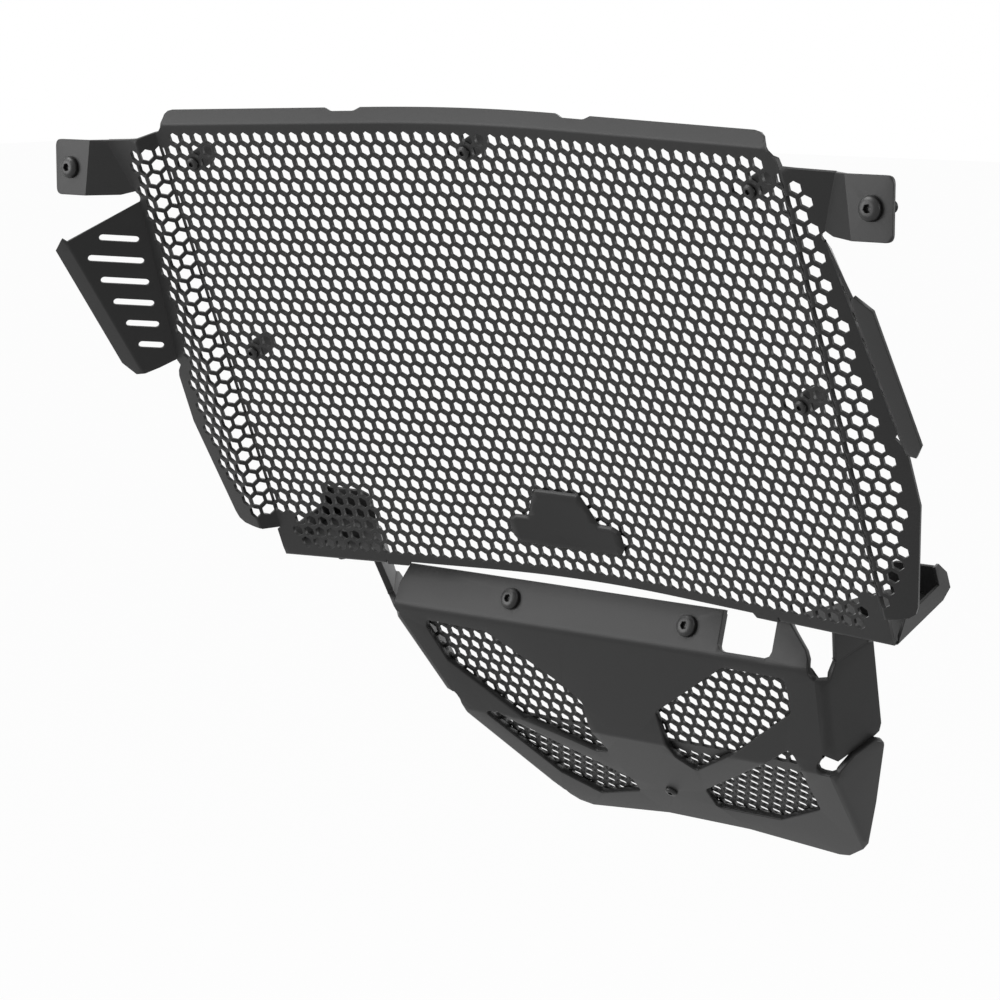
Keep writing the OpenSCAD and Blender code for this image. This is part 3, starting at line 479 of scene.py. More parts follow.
half_outline = [
    [93, -203], [94.6, -205], [106.1, -205], [106.1, -202.6], [106.9, -202.6], [106.9, FLOOR_FOLD],
    floor_place(TRAY_IN, TRAY_REAR), floor_place(TRAY_OUT, TRAY_REAR), floor_place(TRAY_OUT, TRAY_NEAR),
    floor_place(164, 1.2),
    [164.7, FLOOR_FOLD], [164.7, -191.3], [162.95, -190.4], [163.3, -189.9], [170.9, -188.6],
    [181.6, -187], [184.9, -185.1], [186.5, -181.8], [194.2, -149.2], [197, -137.5], [196.7, -114.7],
    [195.5, -111.7], [192.7, -108.5], [194.5, -106], [183, -27.5], [182, -26.6], [181.5, -25.4],
    [182, -24.2], [184, -23], [193.5, 0], [171, 2.5], [163, 3.0], [160.5, 3.4], [158.6, 5.4], [158, 7],
    [157, 9.2], [156.4, 10.8], [154.6, 12.2], [152, 12.7], [69.4, 12.7], [66.5, 11.4], [65.4, 11.2],
    [55, 11.2], [53.9, 11.4], [51, 12.7],
]
print("half outline:", len(half_outline), "points, tray screw at", np.round(JOINT, 1).tolist())

# %% [markdown]
# Some sides aren't cut edges, because the sheet runs on there into the next leaf: the tray's rear
# and outer walls, the ear's arm and the deflector. They are named by their number along the half
# outline. The longer cut sides get points every few millimetres, to follow the bends.

# %% The whole outline, with its fold sides
fold_sides = {6: -TRAY_SOFT, 7: -TRAY_SOFT, 23: -SIDE_SOFT, 28: -SIDE_SOFT}
LONGEST = 6
whole = np.array(half_outline + [[-x, y] for x, y in half_outline[::-1]], float)
outline, joined, n = [], {}, len(half_outline)
for i, (a, b) in enumerate(zip(whole, np.roll(whole, -1, 0))):
    half_side = i if i < n else 2 * n - 2 - i
    if half_side in fold_sides:
        joined[len(outline)] = fold_sides[half_side]
        outline.append(a)
        continue
    k = max(1, int(math.ceil(np.linalg.norm(b - a) / LONGEST)))
    outline += list(a + (b - a) * (np.arange(k) / k)[:, None])
outline = np.array(outline)
print("outline points:", len(outline), "sides that fold on:", sorted(joined))

# %% [markdown]
# A flat face only bends where it has points, so rows of them are laid along the folds, clear of
# the holes. Then the sheet is cut.

# %% Points along the folds, and the sheet
def rows_of_points(values, others, swap=False):
    """Every value with every other as points: a small grid that lets a face bend there."""
    a, b = [g.ravel() for g in np.meshgrid(values, others)]
    return np.stack([b, a] if swap else [a, b], 1)


soft_v = [TOP_FOLD - FLANGE_SOFT, TOP_FOLD, TOP_FOLD + FLANGE_SOFT]
floor_v = [FLOOR_FOLD + 1, FLOOR_FOLD + 0.5, FLOOR_FOLD, FLOOR_FOLD - 0.5, FLOOR_FOLD - 1]
extra = [rows_of_points(soft_v, np.arange(-156, 157, 6), swap=True)]
for sign in (-1, 1):
    for line in (FOLD_1, FOLD_2):
        beside = [sign * (line + d) for d in (-SIDE_SOFT, 0, SIDE_SOFT)]
        extra.append(rows_of_points(beside, np.arange(-188, 2, 1.4)))
    extra.append(rows_of_points(floor_v, sign * np.arange(108, 164, 4), swap=True))
extra = np.concatenate(extra)
cells = np.concatenate([comb] + [l.mean(0)[None] for l in odd_holes])
CLEAR, CLEAR_ON_FOLD, COMB_EDGE = 3.3, 2.2, 0.07


def room_squared(points, centres):
    """Squared distance from each point to its nearest centre."""
    return np.concatenate([((p[:, None] - centres[None]) ** 2).sum(-1).min(1)
                           for p in np.array_split(points, 1 + len(points) // 500)])


room = room_squared(extra, cells)
off_fold = [np.abs(np.abs(extra[:, 0]) - fold) for fold in (FOLD_1, FOLD_2)]
on_line = np.minimum(*off_fold) < 0.5
extra = extra[(room > CLEAR ** 2) | (on_line & (room > CLEAR_ON_FOLD ** 2))]
bores = [disc(*floor_place(*JOINT), M5_BORE)]
bores += [(b * [-1, 1])[::-1] for b in bores]
main = cut_sheet(outline, on_panel, SHEET, odd_holes + bores, comb, HOLE, COMB_EDGE, joined, extra)
print("main sheet:", len(main[1]), "triangles and", len(main[2]), "quads")

# %% [markdown]
# The ear is a short arm folded off the side strip along a slanted line, and then a flat tab for
# the screw, which faces straight ahead.

# %% Ears
LEAF_EDGE, LEAF_SOFT = 0.22, 0.5


def panel_point(s, v):
    """The middle of the sheet at a place on the blank."""
    return on_panel(np.array([[s, v]], float), SHEET / 2)[0]


def fold_points(loop, soft):
    """Points across the fold on a leaf's first side, so that its faces can follow the curve."""
    a, b = np.array(loop[0]), np.array(loop[1])
    n = max(2, int(np.linalg.norm(b - a) / 3))
    return rows_of_points(np.linspace(a[0], b[0], n + 1)[1:-1], [-0.5 * soft, 0, 0.5 * soft, soft])


side_out = panel_point(190, -60) - panel_point(176, -60)
ear_a, ear_b = panel_point(193.5, 0), panel_point(184, -23)
TAB_X, TAB_Y, TAB_HALF, TAB_END = 198.7, -17.95, 11.95, 217.5
along_ear = unit(ear_b - ear_a)
across_ear = unit(side_out - along_ear * (side_out @ along_ear))
tab_middle = np.array([TAB_X, TAB_Y, EAR_Z])
to_tab = tab_middle - ear_b
to_tab = unit(to_tab - along_ear * (to_tab @ along_ear))
arm_turn = math.degrees(math.atan2(to_tab @ np.cross(along_ear, across_ear), to_tab @ across_ear))
arm = leaf_on(ear_a, ear_b, side_out, arm_turn, SHEET / 2, LEAF_SOFT)
tab_line = np.cross(arm.front, [0, 1, 0])
tab_line = tab_line / tab_line[2]
tab_top, tab_low = tab_middle + tab_line * TAB_HALF, tab_middle - tab_line * TAB_HALF
knee = arm.flat(ear_b + np.array([5.8, -3.5, -1.8]))
arm_loop = [[0, 0], [np.linalg.norm(ear_b - ear_a), 0], knee, arm.flat(tab_low), arm.flat(tab_top)]
arm_part = cut_sheet(arm_loop, arm, SHEET, edge=LEAF_EDGE, joins={0: LEAF_SOFT, 3: -LEAF_SOFT},
                     extra=fold_points(arm_loop, LEAF_SOFT))
flat_on = leaf_on(tab_top, tab_low, arm.out, 0, SHEET / 2, LEAF_SOFT)
tab_turn = math.degrees(math.atan2(flat_on.out[1], -flat_on.front[1]))
tab = leaf_on(tab_top, tab_low, arm.out, tab_turn, SHEET / 2, LEAF_SOFT)
corners = [tab.flat(np.array([TAB_END, TAB_Y, z])) for z in (EAR_Z - TAB_HALF, EAR_Z + TAB_HALF)]
root = [tab.flat(tab_top), tab.flat(tab_low)]
steps = 7
outer_corners = rounded([root[1]] + corners + [root[0]], 3.2, steps)[steps:3 * steps]
bore = disc(*tab.flat(np.array([EAR_X, TAB_Y, EAR_Z])), M5_BORE)
tab_loop = np.concatenate([root, outer_corners])
tab_part = cut_sheet(tab_loop, tab, SHEET, [bore], edge=LEAF_EDGE, joins={0: LEAF_SOFT})
print("arm folds by", round(arm_turn, 1), "and the tab faces", np.round(tab.front, 3).tolist())

# %% [markdown]
# The deflector is folded forward along the other slanted side, with six round-ended slots, and a
# narrow lip along its outer edge turns back again.

# %% Deflectors
DEFLECTOR_TURN, LIP_TURN, LIP_SOFT = 56, -40, 0.45
wing_a, wing_b = panel_point(183, -27.5), panel_point(194.5, -106)
wing = leaf_on(wing_a, wing_b, side_out, DEFLECTOR_TURN, SHEET / 2, SIDE_SOFT)
wing_len = np.linalg.norm(wing_b - wing_a)
LIP_LOW, LIP_TOP = [83.1, 16], [11.7, 35.1]
wing_loop = [[0, 0], [wing_len, 0], [81.6, 8.4], LIP_LOW, LIP_TOP]


def slot_loop(x, y, slant, length, width=3.2, n=9):
    """A round-ended slot: two half circles joined, turned by slant, clockwise."""
    t = np.radians(np.linspace(-90, 90, n))
    end = width / 2 * np.stack([np.cos(t), np.sin(t)], 1)
    p = np.concatenate([end + [length, 0], -end])[::-1]
    c, s = math.cos(math.radians(slant)), math.sin(math.radians(slant))
    return np.stack([x + p[:, 0] * c - p[:, 1] * s, y + p[:, 0] * s + p[:, 1] * c], 1)


SLOT_FIRST, SLOT_STEP, SLOT_IN, SLOT_SLANT = 17.5, 10.66, 6, 107.3
slot_lengths = [14.2] + [21.3 - 3.3 * i for i in range(5)]
slots = [slot_loop(SLOT_FIRST + SLOT_STEP * i, SLOT_IN, SLOT_SLANT, length)
         for i, length in enumerate(slot_lengths)]
wing_part = cut_sheet(wing_loop, wing, SHEET, slots, edge=LEAF_EDGE, joins={0: SIDE_SOFT, 3: -LIP_SOFT},
                      extra=fold_points(wing_loop, SIDE_SOFT))
lip_a, lip_b = wing.at(*LIP_TOP), wing.at(*LIP_LOW)
lip = leaf_on(lip_a, lip_b, wing.out, LIP_TURN, SHEET / 2, LIP_SOFT)
lip_len = np.linalg.norm(lip_b - lip_a)
lip_loop = ordered([[0, 0], [lip_len, 0], [73.8, 3.9], [67, 8.6], [3.9, 8.6], [-1.6, 1.8]])
lip_part = cut_sheet(lip_loop, lip, SHEET, edge=LEAF_EDGE, joins={0: LIP_SOFT},
                     extra=fold_points(lip_loop, LIP_SOFT))
print("deflector's fold, mm:", round(float(wing_len), 1), "slots:", [round(x, 1) for x in slot_lengths])

# %% [markdown]
# The tray's rear wall and outer wall stand on its floor. The outer one is cut low in its middle.

# %% Tray walls, and the whole upper panel
def in_tray(x, y, v=FLOOR_FOLD):
    """A place on the tray floor, from above, in space."""
    return leaned(np.array([x, TRAY_Y + y, v], float))


def tray_wall(start, end, outward, loop):
    """A wall folded up off the floor, along the line from start to end."""
    wall = leaf_on(in_tray(*start), in_tray(*end), outward, -90, SHEET / 2, TRAY_SOFT)
    return cut_sheet(ordered(loop), wall, SHEET, edge=LEAF_EDGE, joins={0: TRAY_SOFT})


rear_part = tray_wall([TRAY_OUT, TRAY_REAR], [TRAY_IN, TRAY_REAR], in_tray(150, 40) - in_tray(150, 37),
                      [[1, 0], [25.8, 0], [25.8, 9], [24.3, 12.5], [20.8, 14], [1, 14]])
outer_part = tray_wall([TRAY_OUT, TRAY_NEAR], [TRAY_OUT, TRAY_REAR], in_tray(170, 20) - in_tray(165.5, 20),
                       [[0, 0], [35, 0], [38, 3], [38, 10], [34, 16], [31, 16], [31, 8], [6, 8], [0, 3]])
side_parts = [arm_part, tab_part, wing_part, lip_part, rear_part, outer_part]
all_parts = [main] + [p for part in side_parts for p in both(part)]
make_piece("honeycomb_panel", all_parts, ["upper_guard"], "coat")

# %% [markdown]
# ## The lower plate
# The lower plate is 3 mm thick, so its windows show deep walls. It has three leaves: a band that
# leans back, a face that leans forward and a lower leaf turned further under. Their folds are
# wide and soft, as thick plate needs.

# %% Where a point of the lower blank goes
PLATE, MESH = 3.1, 1.5
LOWER_Y, LOWER_Z, FACE_LEAN, FACE_LEN = 84.2, -213.2, 26.8, 54.7
BAND_TURN, BAND_SOFT, LOW_TURN, LOW_SOFT = -43.0, 2.36, 20.0, 1.06


def up_at(deg):
    """The upward direction of a leaf that leans forward by deg."""
    r = np.radians(deg)
    return np.stack([0 * r, -np.sin(r), np.cos(r)], -1)


def front_at(deg):
    """The front normal of a leaf that leans forward by deg."""
    r = np.radians(deg)
    return np.stack([0 * r, -np.cos(r), -np.sin(r)], -1)


def lower_blank(layer):
    """Place function of the lower blank, layer mm behind the plate's front: above the upper fold
    the bend formula runs up and back, below the lower fold it runs down and back."""
    face_up, face_front = up_at(np.array(FACE_LEAN)), front_at(np.array(FACE_LEAN))
    top = np.array([0, LOWER_Y, LOWER_Z])
    low = top - FACE_LEN * face_up

    def place(p, depth):
        v = p[:, 1]
        rise, back, tilt = bend(v, BAND_TURN, BAND_SOFT)
        fall, under, tip = bend(-FACE_LEN - v, LOW_TURN, LOW_SOFT)
        is_low = (v < -FACE_LEN / 2)[:, None]
        where = np.where(is_low, low - fall[:, None] * face_up - under[:, None] * face_front,
                         top + rise[:, None] * face_up + back[:, None] * face_front)
        lean = FACE_LEAN + np.degrees(np.where(is_low[:, 0], tip, tilt))
        where = where - (depth + layer) * front_at(lean)
        where[:, 0] += p[:, 0]
        return where

    return place


def lower_point(x, v):
    """A place on the front of the lower plate."""
    return lower_blank(0.0)(np.array([[x, v]], float), 0.0)[0]


print("lower plate, top and bottom, mm:", [np.round(lower_point(0, v), 1).tolist() for v in (19.5, -119)])

# %% [markdown]
# Four windows with softly rounded corners are cut into the face and the lower leaf. The outline
# has a notch in the band and relief slots at its ends. Where a side crosses a fold it gets points
# of its own, so that it can bend there.

# %% Outline and windows of the lower blank
PLATE_EDGE = 0.45
BAND_SCREW, MESH_SCREW = (48, 10.4), (0.5, -96.4)
windows = [
    [[-97, -6.3], [-62.8, -7.4], [-28.7, -30.3], [-20.2, -39], [-21.4, -50], [-19.5, -70.5],
     [-28, -71.9], [-58, -54.5], [-93.2, -28], [-99, -10]],
    [[66, -6.1], [97.6, -6.8], [95, -24.8], [58.3, -51.6], [27, -73], [20.4, -64], [20.6, -37]],
    [[-82, -54], [-74, -53], [-19.6, -91.7], [-20.2, -102.6], [-48.1, -112.3], [-64.3, -99.2]],
    [[88.6, -44], [90.8, -54], [88.7, -66], [84.6, -87.5], [55.9, -104], [21.6, -104], [23, -89.5]],
]


def clockwise(loop):
    return ordered(loop)[::-1]


def split_up(loop, levels):
    """A loop with points added where it crosses the given heights."""
    return split(np.asarray(loop, float)[:, ::-1], levels)[:, ::-1]


bend_rows = [-2.4, -1.2, 0, 1.2, 2.4, -FACE_LEN - 1.1, -FACE_LEN, -FACE_LEN + 1.1]
window_loops = [clockwise(split_up(rounded(w, 3), bend_rows)) for w in windows]
SIDE_BEND, WING_BEND = 3.6, 2.2
lower_loop = [
    [104.95, -55.26], [101.8, -55], [100.3, -53.4], [100, -51.4], [101.3, -49.4], [104.47, -46.25],
    [108.2, -47], [116.5, -5.8], [112.78, -5.05], [111.4, -4], [110.7, -2], [110.6, 1], [110.1, 5],
    [108.4, 8.2], [98.9, 17.9], [97, 19.2], [95, 19.5], [92, 19.5], [92, 5.3], [91.1, 3.2], [89, 2.3],
    [68, 2.3], [65.9, 3.2], [65, 5.3], [65, 19.5], [-109, 19.5], [-113.5, 10], [-114.5, 0],
    [-112.95, -4.43], [-116.5, -5.8], [-100.6, -47], [-97.05, -45.63], [-95.9, -46.9], [-95, -49.4],
    [-93.74, -54.96], [-96, -55.76], [-75, -115.2], [-72.08, -116.85], [-71.2, -119.8], [-67.6, -124],
    [-60.9, -126.3], [-12.9, -118.8], [31, -119.4], [75.4, -126.6], [81.1, -125.6], [94.6, -115.2],
    [107.3, -55.76],
]
folds_on = {(108.2, -47): -SIDE_BEND, (-116.5, -5.8): -SIDE_BEND,
            (-96, -55.76): -WING_BEND, (94.6, -115.2): -WING_BEND}
loop, lower_joins = [], {}
for a, b in zip(lower_loop, lower_loop[1:] + lower_loop[:1]):
    if tuple(a) in folds_on:
        lower_joins[len(loop)] = folds_on[tuple(a)]
        loop.append(a)
        continue
    # A loop of two points goes there and back, so its first half is the side from a to b
    there_and_back = split_up([a, b], bend_rows)
    loop += there_and_back[:len(there_and_back) // 2].tolist()
lower_outline = np.array(loop)
lower_bores = [disc(x, BAND_SCREW[1], M5_BORE) for x in (-BAND_SCREW[0], BAND_SCREW[0])]
lower_bores.append(disc(*MESH_SCREW, M3_BORE))
lower_extra = rows_of_points(bend_rows, np.arange(-106, 108, 5), swap=True)
plate = cut_sheet(lower_outline, lower_blank(0.0), PLATE, window_loops + lower_bores, edge=PLATE_EDGE,
                  joins=lower_joins, extra=lower_extra)
print("lower outline:", len(lower_outline), "points, and", len(plate[1]), "triangles in the sheet")

# %% [markdown]
# At each end the face turns back into a side panel, the lower leaf into a wing, and a riser and a
# foot reach up to the screw under the upper panel's tray.

# %% Sides of the lower plate
FOOT, FOOT_MORE = 17.0, 5
TRAY_UNDER = FLOOR_FOLD - SHEET / 2
SHOULDER, FACE_LOW, WING_END = (116.5, -5.8), -47, 60.5
RISER_NEAR, RISER_FAR = (-7.7, 7.1), (-12.1, 22.1)


def flat_leaf(origin, ex, ey):
    """Place function of a flat leaf of the plate, with its middle through origin."""
    n = np.cross(ex, ey)

    def place(p, depth):
        return origin + p[:, :1] * ex + p[:, 1:] * ey + (PLATE / 2 - depth) * n

    return place


def rod(a, b, d, n=16):
    """A closed round rod from a to b: rings of radius times (cos, sin) round the axis."""
    axis = unit(b - a)
    e1 = unit(np.cross(axis, [0.3, 0.9, 0.2]))
    e2 = np.cross(axis, e1)
    t = np.linspace(0, 2 * np.pi, n, endpoint=False)[:, None]
    ring = d / 2 * (np.cos(t) * e1 + np.sin(t) * e2)
    v = np.concatenate([a + ring, b + ring, [a], [b]])
    i, j = np.arange(n), np.roll(np.arange(n), -1)
    quads = np.stack([i, j, j + n, i + n], 1)
    near_cap = np.stack([j, i, np.full(n, 2 * n)], 1)
    far_cap = np.stack([i + n, j + n, np.full(n, 2 * n + 1)], 1)
    return v, np.concatenate([near_cap, far_cap]), quads


def lower_end(low_x, wing_x, wing_low_x):
    """Side panel, riser, foot and wing at one end, drawn on the right. The rods are the rounded
    folds between side panel, riser and foot."""
    a, b = lower_point(*SHOULDER), lower_point(low_x, FACE_LOW)
    out = np.array([1.0, 0, 0])
    side = leaf_on(a, b, out, -60, 0.0, SIDE_BEND)
    length = np.linalg.norm(b - a)
    side_loop = ordered([[0, 0], [length, 0], [44, 3.8], [38.5, 20.8], [36.8, 23.8], [33, 25], [-10.5, 24.9],
                         RISER_FAR, RISER_NEAR, [-2.4, 4.3], [0, 3.9]])
    parts = [cut_sheet(side_loop, side, PLATE, edge=PLATE_EDGE, joins={0: SIDE_BEND},
                       extra=rows_of_points(np.arange(2, length - 1, 4), [-1.8, 0, 1.8, 3.6]))]
    middle = a - side.front * PLATE / 2
    p, q = [middle + u * side.ex + w * side.out for u, w in (RISER_NEAR, RISER_FAR)]
    foot_v = TRAY_UNDER - PLATE / 2
    m, n = [in_tray(*(FOOT_AT + k * FOOT_DIR), foot_v) for k in (-FOOT_MORE, FOOT)]
    rx = unit(q - p)
    ry = unit((m + n) / 2 - p - rx * (((m + n) / 2 - p) @ rx))
    riser = ordered([[(k - p) @ rx, (k - p) @ ry] for k in (p, q, n, m)])
    parts.append(cut_sheet(riser, flat_leaf(p, rx, ry), PLATE, edge=PLATE_EDGE))
    parts += [rod(p, q, PLATE), rod(m, n, PLATE)]
    foot_ex = unit(in_tray(*(FOOT_AT + FOOT_DIR), foot_v) - in_tray(*FOOT_AT, foot_v))
    foot_ey = unit(in_tray(*(FOOT_AT - FOOT_OUT), foot_v) - in_tray(*FOOT_AT, foot_v))
    foot_len = FOOT + FOOT_MORE
    foot = rounded([[0, -FOOT], [foot_len, -FOOT], [foot_len, 0], [0, 0]], 2.5)
    foot_bore = disc(FOOT_MORE + SCREW_ALONG, -SCREW_OUT, M5_BORE)
    parts.append(cut_sheet(foot, flat_leaf(m, foot_ex, foot_ey), PLATE, [foot_bore], edge=PLATE_EDGE))
    wa, wb = lower_point(wing_x, -FACE_LEN - LOW_SOFT), lower_point(wing_low_x, -FACE_LEN - WING_END)
    fin = leaf_on(wa, wb, out, -55, 0.0, WING_BEND)
    fin_len = np.linalg.norm(wb - wa)
    fin_loop = ordered([[0, 0], [fin_len, 0], [fin_len - 2.3, 2], [34.1, 12.2], [0, 24.9], [-1.8, 25.2],
                        [-3.2, 24.8], [-7, 22.2], [-5.8, 11.6], [-1.2, 3.6], [0, 2.6]])
    parts.append(cut_sheet(fin_loop, fin, PLATE, edge=PLATE_EDGE, joins={0: WING_BEND},
                           extra=rows_of_points(np.arange(3, fin_len - 2, 4), [-1.1, 0, 1.1, 2.2])))
    return parts


right_end, left_end = lower_end(108.2, 107.3, 94.6), lower_end(100.6, 96, 75)
all_parts = [plate] + right_end + [mirrored(part) for part in left_end]
make_piece("lower_plate", all_parts, ["lower_guard"], "coat")

# %% [markdown]
# The second honeycomb sheet lies straight behind the plate and follows its folds. Its holes are
# the same size as the upper ones, and the plate's windows cut across them.

# %% Mesh behind the windows
mesh_loop = ordered([
    [-108.5, 18], [-112.5, 10], [-113, 0], [-113.2, -5.8], [-97.4, -47], [-92.8, -54.7], [-71.5, -112],
    [-70, -119], [-60, -122.5], [-12.9, -115], [31, -115.6], [75.4, -122.6], [81.1, -121.6],
    [91, -113.6], [98, -72], [97.5, -46], [105.3, -42], [112, -7], [109, 0], [109, 4], [98, 18],
    [93, 18], [93, 1.6], [64, 1.6], [64, 18]])
mesh_outline = split_up(mesh_loop, bend_rows)
MESH_RIM, MESH_TOP, ROW_GAP, SCREW_ROOM = 4.6, -5.6, 5.9, 7


def lattice(x0, v0, rows):
    """Rows of holes from v0 down, every second one shifted by half a pitch."""
    return np.concatenate([np.stack([x0 + PITCH * (np.arange(-22, 23) + 0.5 * (r % 2)),
                                     np.full(45, v0 - ROW * r)], 1) for r in rows])


upper_rows = lattice(-1.43 - 2 * PITCH, -35.65, range(-5, 4))
left_rows = lattice(-43.12, -FACE_LEN - 43.8, range(-8, 4))
right_rows = lattice(54.99, -FACE_LEN - 31.75, range(-6, 6))
left_rows, right_rows = left_rows[left_rows[:, 0] < 0.5], right_rows[right_rows[:, 0] > 4.5]
lower_rows = np.concatenate([left_rows, right_rows])
lower_rows = lower_rows[lower_rows[:, 1] < upper_rows[:, 1].min() - ROW_GAP]
mesh_holes = np.concatenate([upper_rows, lower_rows])
border = grown(mesh_outline[None], -MESH_RIM)[0]
mesh_holes = mesh_holes[inside(mesh_holes, border) & (mesh_holes[:, 1] < MESH_TOP)]
mesh_holes = mesh_holes[np.linalg.norm(mesh_holes - np.array(MESH_SCREW), axis=1) > SCREW_ROOM]
mesh_extra = lower_extra[room_squared(lower_extra, mesh_holes) > CLEAR ** 2]
mesh_part = cut_sheet(mesh_outline, lower_blank(PLATE), MESH, lower_bores, mesh_holes, HOLE, COMB_EDGE,
                      extra=mesh_extra)
print("holes in the window mesh:", len(mesh_holes))
# The mesh gets the darker copy of the coat, as painted shade for its place behind the plate
make_piece("window_mesh", [mesh_part], ["lower_mesh"], "coat_mesh")

# %% [markdown]
# ## The badge plate
# A small blank plate is bonded to the mesh low in the middle. It follows the soft bend, with
# rounded corners and a rounded rim.

# %% Badge plate
BADGE_THICK, BADGE_RIM = 2.2, 1.0
half_badge = [[27.3, -187], [30.3, -183], [30.3, -175], [26.3, -173], [19, -173], [12.4, -159.5]]
badge_corners = [[-27.3, -187]] + half_badge + [[-x, y] for x, y in half_badge[:0:-1]]
badge = rounded(badge_corners, 2.5, 6)
badge_grid = rows_of_points(np.arange(-26, 27, 4), np.arange(-184, -160, 4))
badge_grid = badge_grid[inside(badge_grid, grown(badge[None], -1.2 * BADGE_RIM)[0])]
badge_part = cut_sheet(badge, lambda p, depth: on_panel(p, depth - BADGE_THICK), BADGE_THICK,
                       edge=BADGE_RIM, extra=badge_grid)
make_piece("badge", [badge_part], ["badge_plate"], "badge")

# %% [markdown]
# ## Screws, nuts and bumpers
# These are turned parts: a profile carried round an axis. Each ring of the surface has a height
# and a radius that may change with the angle, so a ring can be a circle, or a hexagon for a key
# socket or a nut.

# %% Turned parts
AROUND = np.linspace(0, 2 * np.pi, 36, endpoint=False)
HEX = 1 / np.cos((AROUND + np.pi / 6) % (np.pi / 3) - np.pi / 6)


def turned(rings, origin, axis):
    """Rings of (height, radii) along the axis, joined by bands and closed at both ends. A point is
    origin + height axis + radius (cos e1 + sin e2). The radii are one number for a circle, or
    one for each angle of AROUND."""
    axis = unit(np.asarray(axis, float))
    e1 = unit(np.cross(axis, [0.31, 0.2, 0.93]))
    e2 = np.cross(axis, e1)
    n, k = len(AROUND), len(rings)
    height = np.array([r[0] for r in rings], float)[:, None, None]
    radius = np.stack([np.broadcast_to(r[1], (n,)) for r in rings])[..., None]
    around = np.cos(AROUND)[:, None] * e1 + np.sin(AROUND)[:, None] * e2
    verts = (origin + height * axis + radius * around[None]).reshape(-1, 3)
    verts = np.concatenate([verts, [origin + rings[0][0] * axis], [origin + rings[-1][0] * axis]])
    i = np.arange(n)[None] + n * np.arange(k - 1)[:, None]
    j = np.roll(np.arange(n), -1)[None] + n * np.arange(k - 1)[:, None]
    quads = np.stack([i, j, j + n, i + n], -1).reshape(-1, 4)
    a, b, last = np.arange(n), np.roll(np.arange(n), -1), n * (k - 1)
    near_cap = np.stack([b, a, np.full(n, n * k)], 1)
    far_cap = np.stack([a + last, b + last, np.full(n, n * k + 1)], 1)
    return verts, np.concatenate([near_cap, far_cap]), quads


def bored(rings, origin, axis):
    """A turned part with an open bore: its last ring joins its first, in place of two caps."""
    v, t, q = turned(rings, origin, axis)
    n, last = len(AROUND), len(AROUND) * (len(rings) - 1)
    a, b = np.arange(n), np.roll(np.arange(n), -1)
    inner = np.stack([b + last, a + last, a, b], 1)
    return v, t[:0], np.concatenate([q, inner])


print("a hexagon's corners stand out by", round(float(HEX.max()), 3), "of its half width")

# %% [markdown]
# A button screw's thread is a real one, a small wave in the shank's radius that runs round as it
# goes along. The ear screws have a plain, thinner neck where they pass through the ear.

# %% Screws, nuts and bumpers
# Screws: shank, head, head height, key. Nuts: across flats, height, bore
M5_SCREW, M3_SCREW = (5, 9.5, 2.75, 3), (3, 5.7, 1.65, 2)
M5_NUT, M3_NUT = (8, 4, 5.1), (5.5, 2.4, 3.1)


def button_screw(origin, axis, size, length, thread=0.0, neck=0.0):
    """A domed head with a hexagon socket, its underside at the origin, and a shank along axis.
    The dome is a quarter ellipse from the socket's rim to the head's edge. The thread's radius
    dips by a cosine of distance over pitch less the angle."""
    d, head, high, key = size
    t = np.radians(np.linspace(12, 78, 8))
    top = key / 2 * HEX
    rings = [(-high * 0.42, 0.05 * HEX), (-high * 0.42, top), (-high * 0.94, top), (-high, top * 1.12)]
    rim = key * 0.66
    rings += [(-high * (0.18 + 0.82 * np.cos(a) ** 0.8), rim + (head / 2 - rim) * np.sin(a)) for a in t]
    rings += [(-0.16 * high, head / 2), (-0.07 * high, head / 2), (0, head / 2 - 0.15), (0, d / 2 + 0.02)]
    if neck:
        rings += [(0, 0.44 * d), (neck, 0.44 * d)]
    if thread:
        z = np.arange(neck + 0.3, length - 0.7, thread / 4)
        rings += [(h, d / 2 - 0.055 * d * (1 + np.cos(2 * np.pi * h / thread - AROUND))) for h in z]
    rings += [(length - 0.6, d / 2 - 0.1), (length, d / 2 - 0.6), (length, 0.05)]
    return turned(rings, origin, axis)


def nut(origin, axis, size):
    """A hexagon nut: the corners are cut back at both ends, and the bore is open."""
    across, high, bore = size
    flats = across / 2 * HEX
    end = np.minimum(flats, across / 2 * 1.06) * 0.97
    cut = np.minimum(flats, across / 2 * 1.06 * 1.06)
    rings = [(0, bore / 2), (0, end), (0.12 * high, cut), (0.2 * high, flats),
             (0.8 * high, flats), (0.88 * high, cut), (high, end), (high, bore / 2)]
    return bored(rings, origin, axis)


BUMPER_D, BUMPER_LONG, BUMPER_BORE, POCKET_D, POCKET_DEEP = 8.6, 9, 3.4, 6.95, 4


def bumper(origin, axis):
    """A rubber cylinder with rounded rims, a bore and a pocket for its nut."""
    r, long, bore, pocket = BUMPER_D / 2, BUMPER_LONG, BUMPER_BORE / 2, POCKET_D / 2
    rings = [(0, bore), (0, r - 0.7), (0.2, r - 0.2), (0.7, r), (long - 0.7, r), (long - 0.2, r - 0.2),
             (long, r - 0.7), (long, pocket + 0.2), (long - 0.2, pocket), (long - POCKET_DEEP, pocket),
             (long - POCKET_DEEP, bore)]
    return bored(rings, origin, axis)


def screw_piece(name, node, *how):
    """A button screw as a piece that stands for the node."""
    make_piece(name, [button_screw(*how)], [node], "black_steel", 40)


def nut_piece(name, node, *how):
    """A nut as a piece that stands for the node. Its flats meet at 60 degrees, and stay sharp."""
    make_piece(name, [nut(*how)], [node], "black_steel", 30)


# %% [markdown]
# Each screw sits on the sheet that it clamps and takes its direction from it. Behind the plate
# come the mesh or the tray, and then the nut.

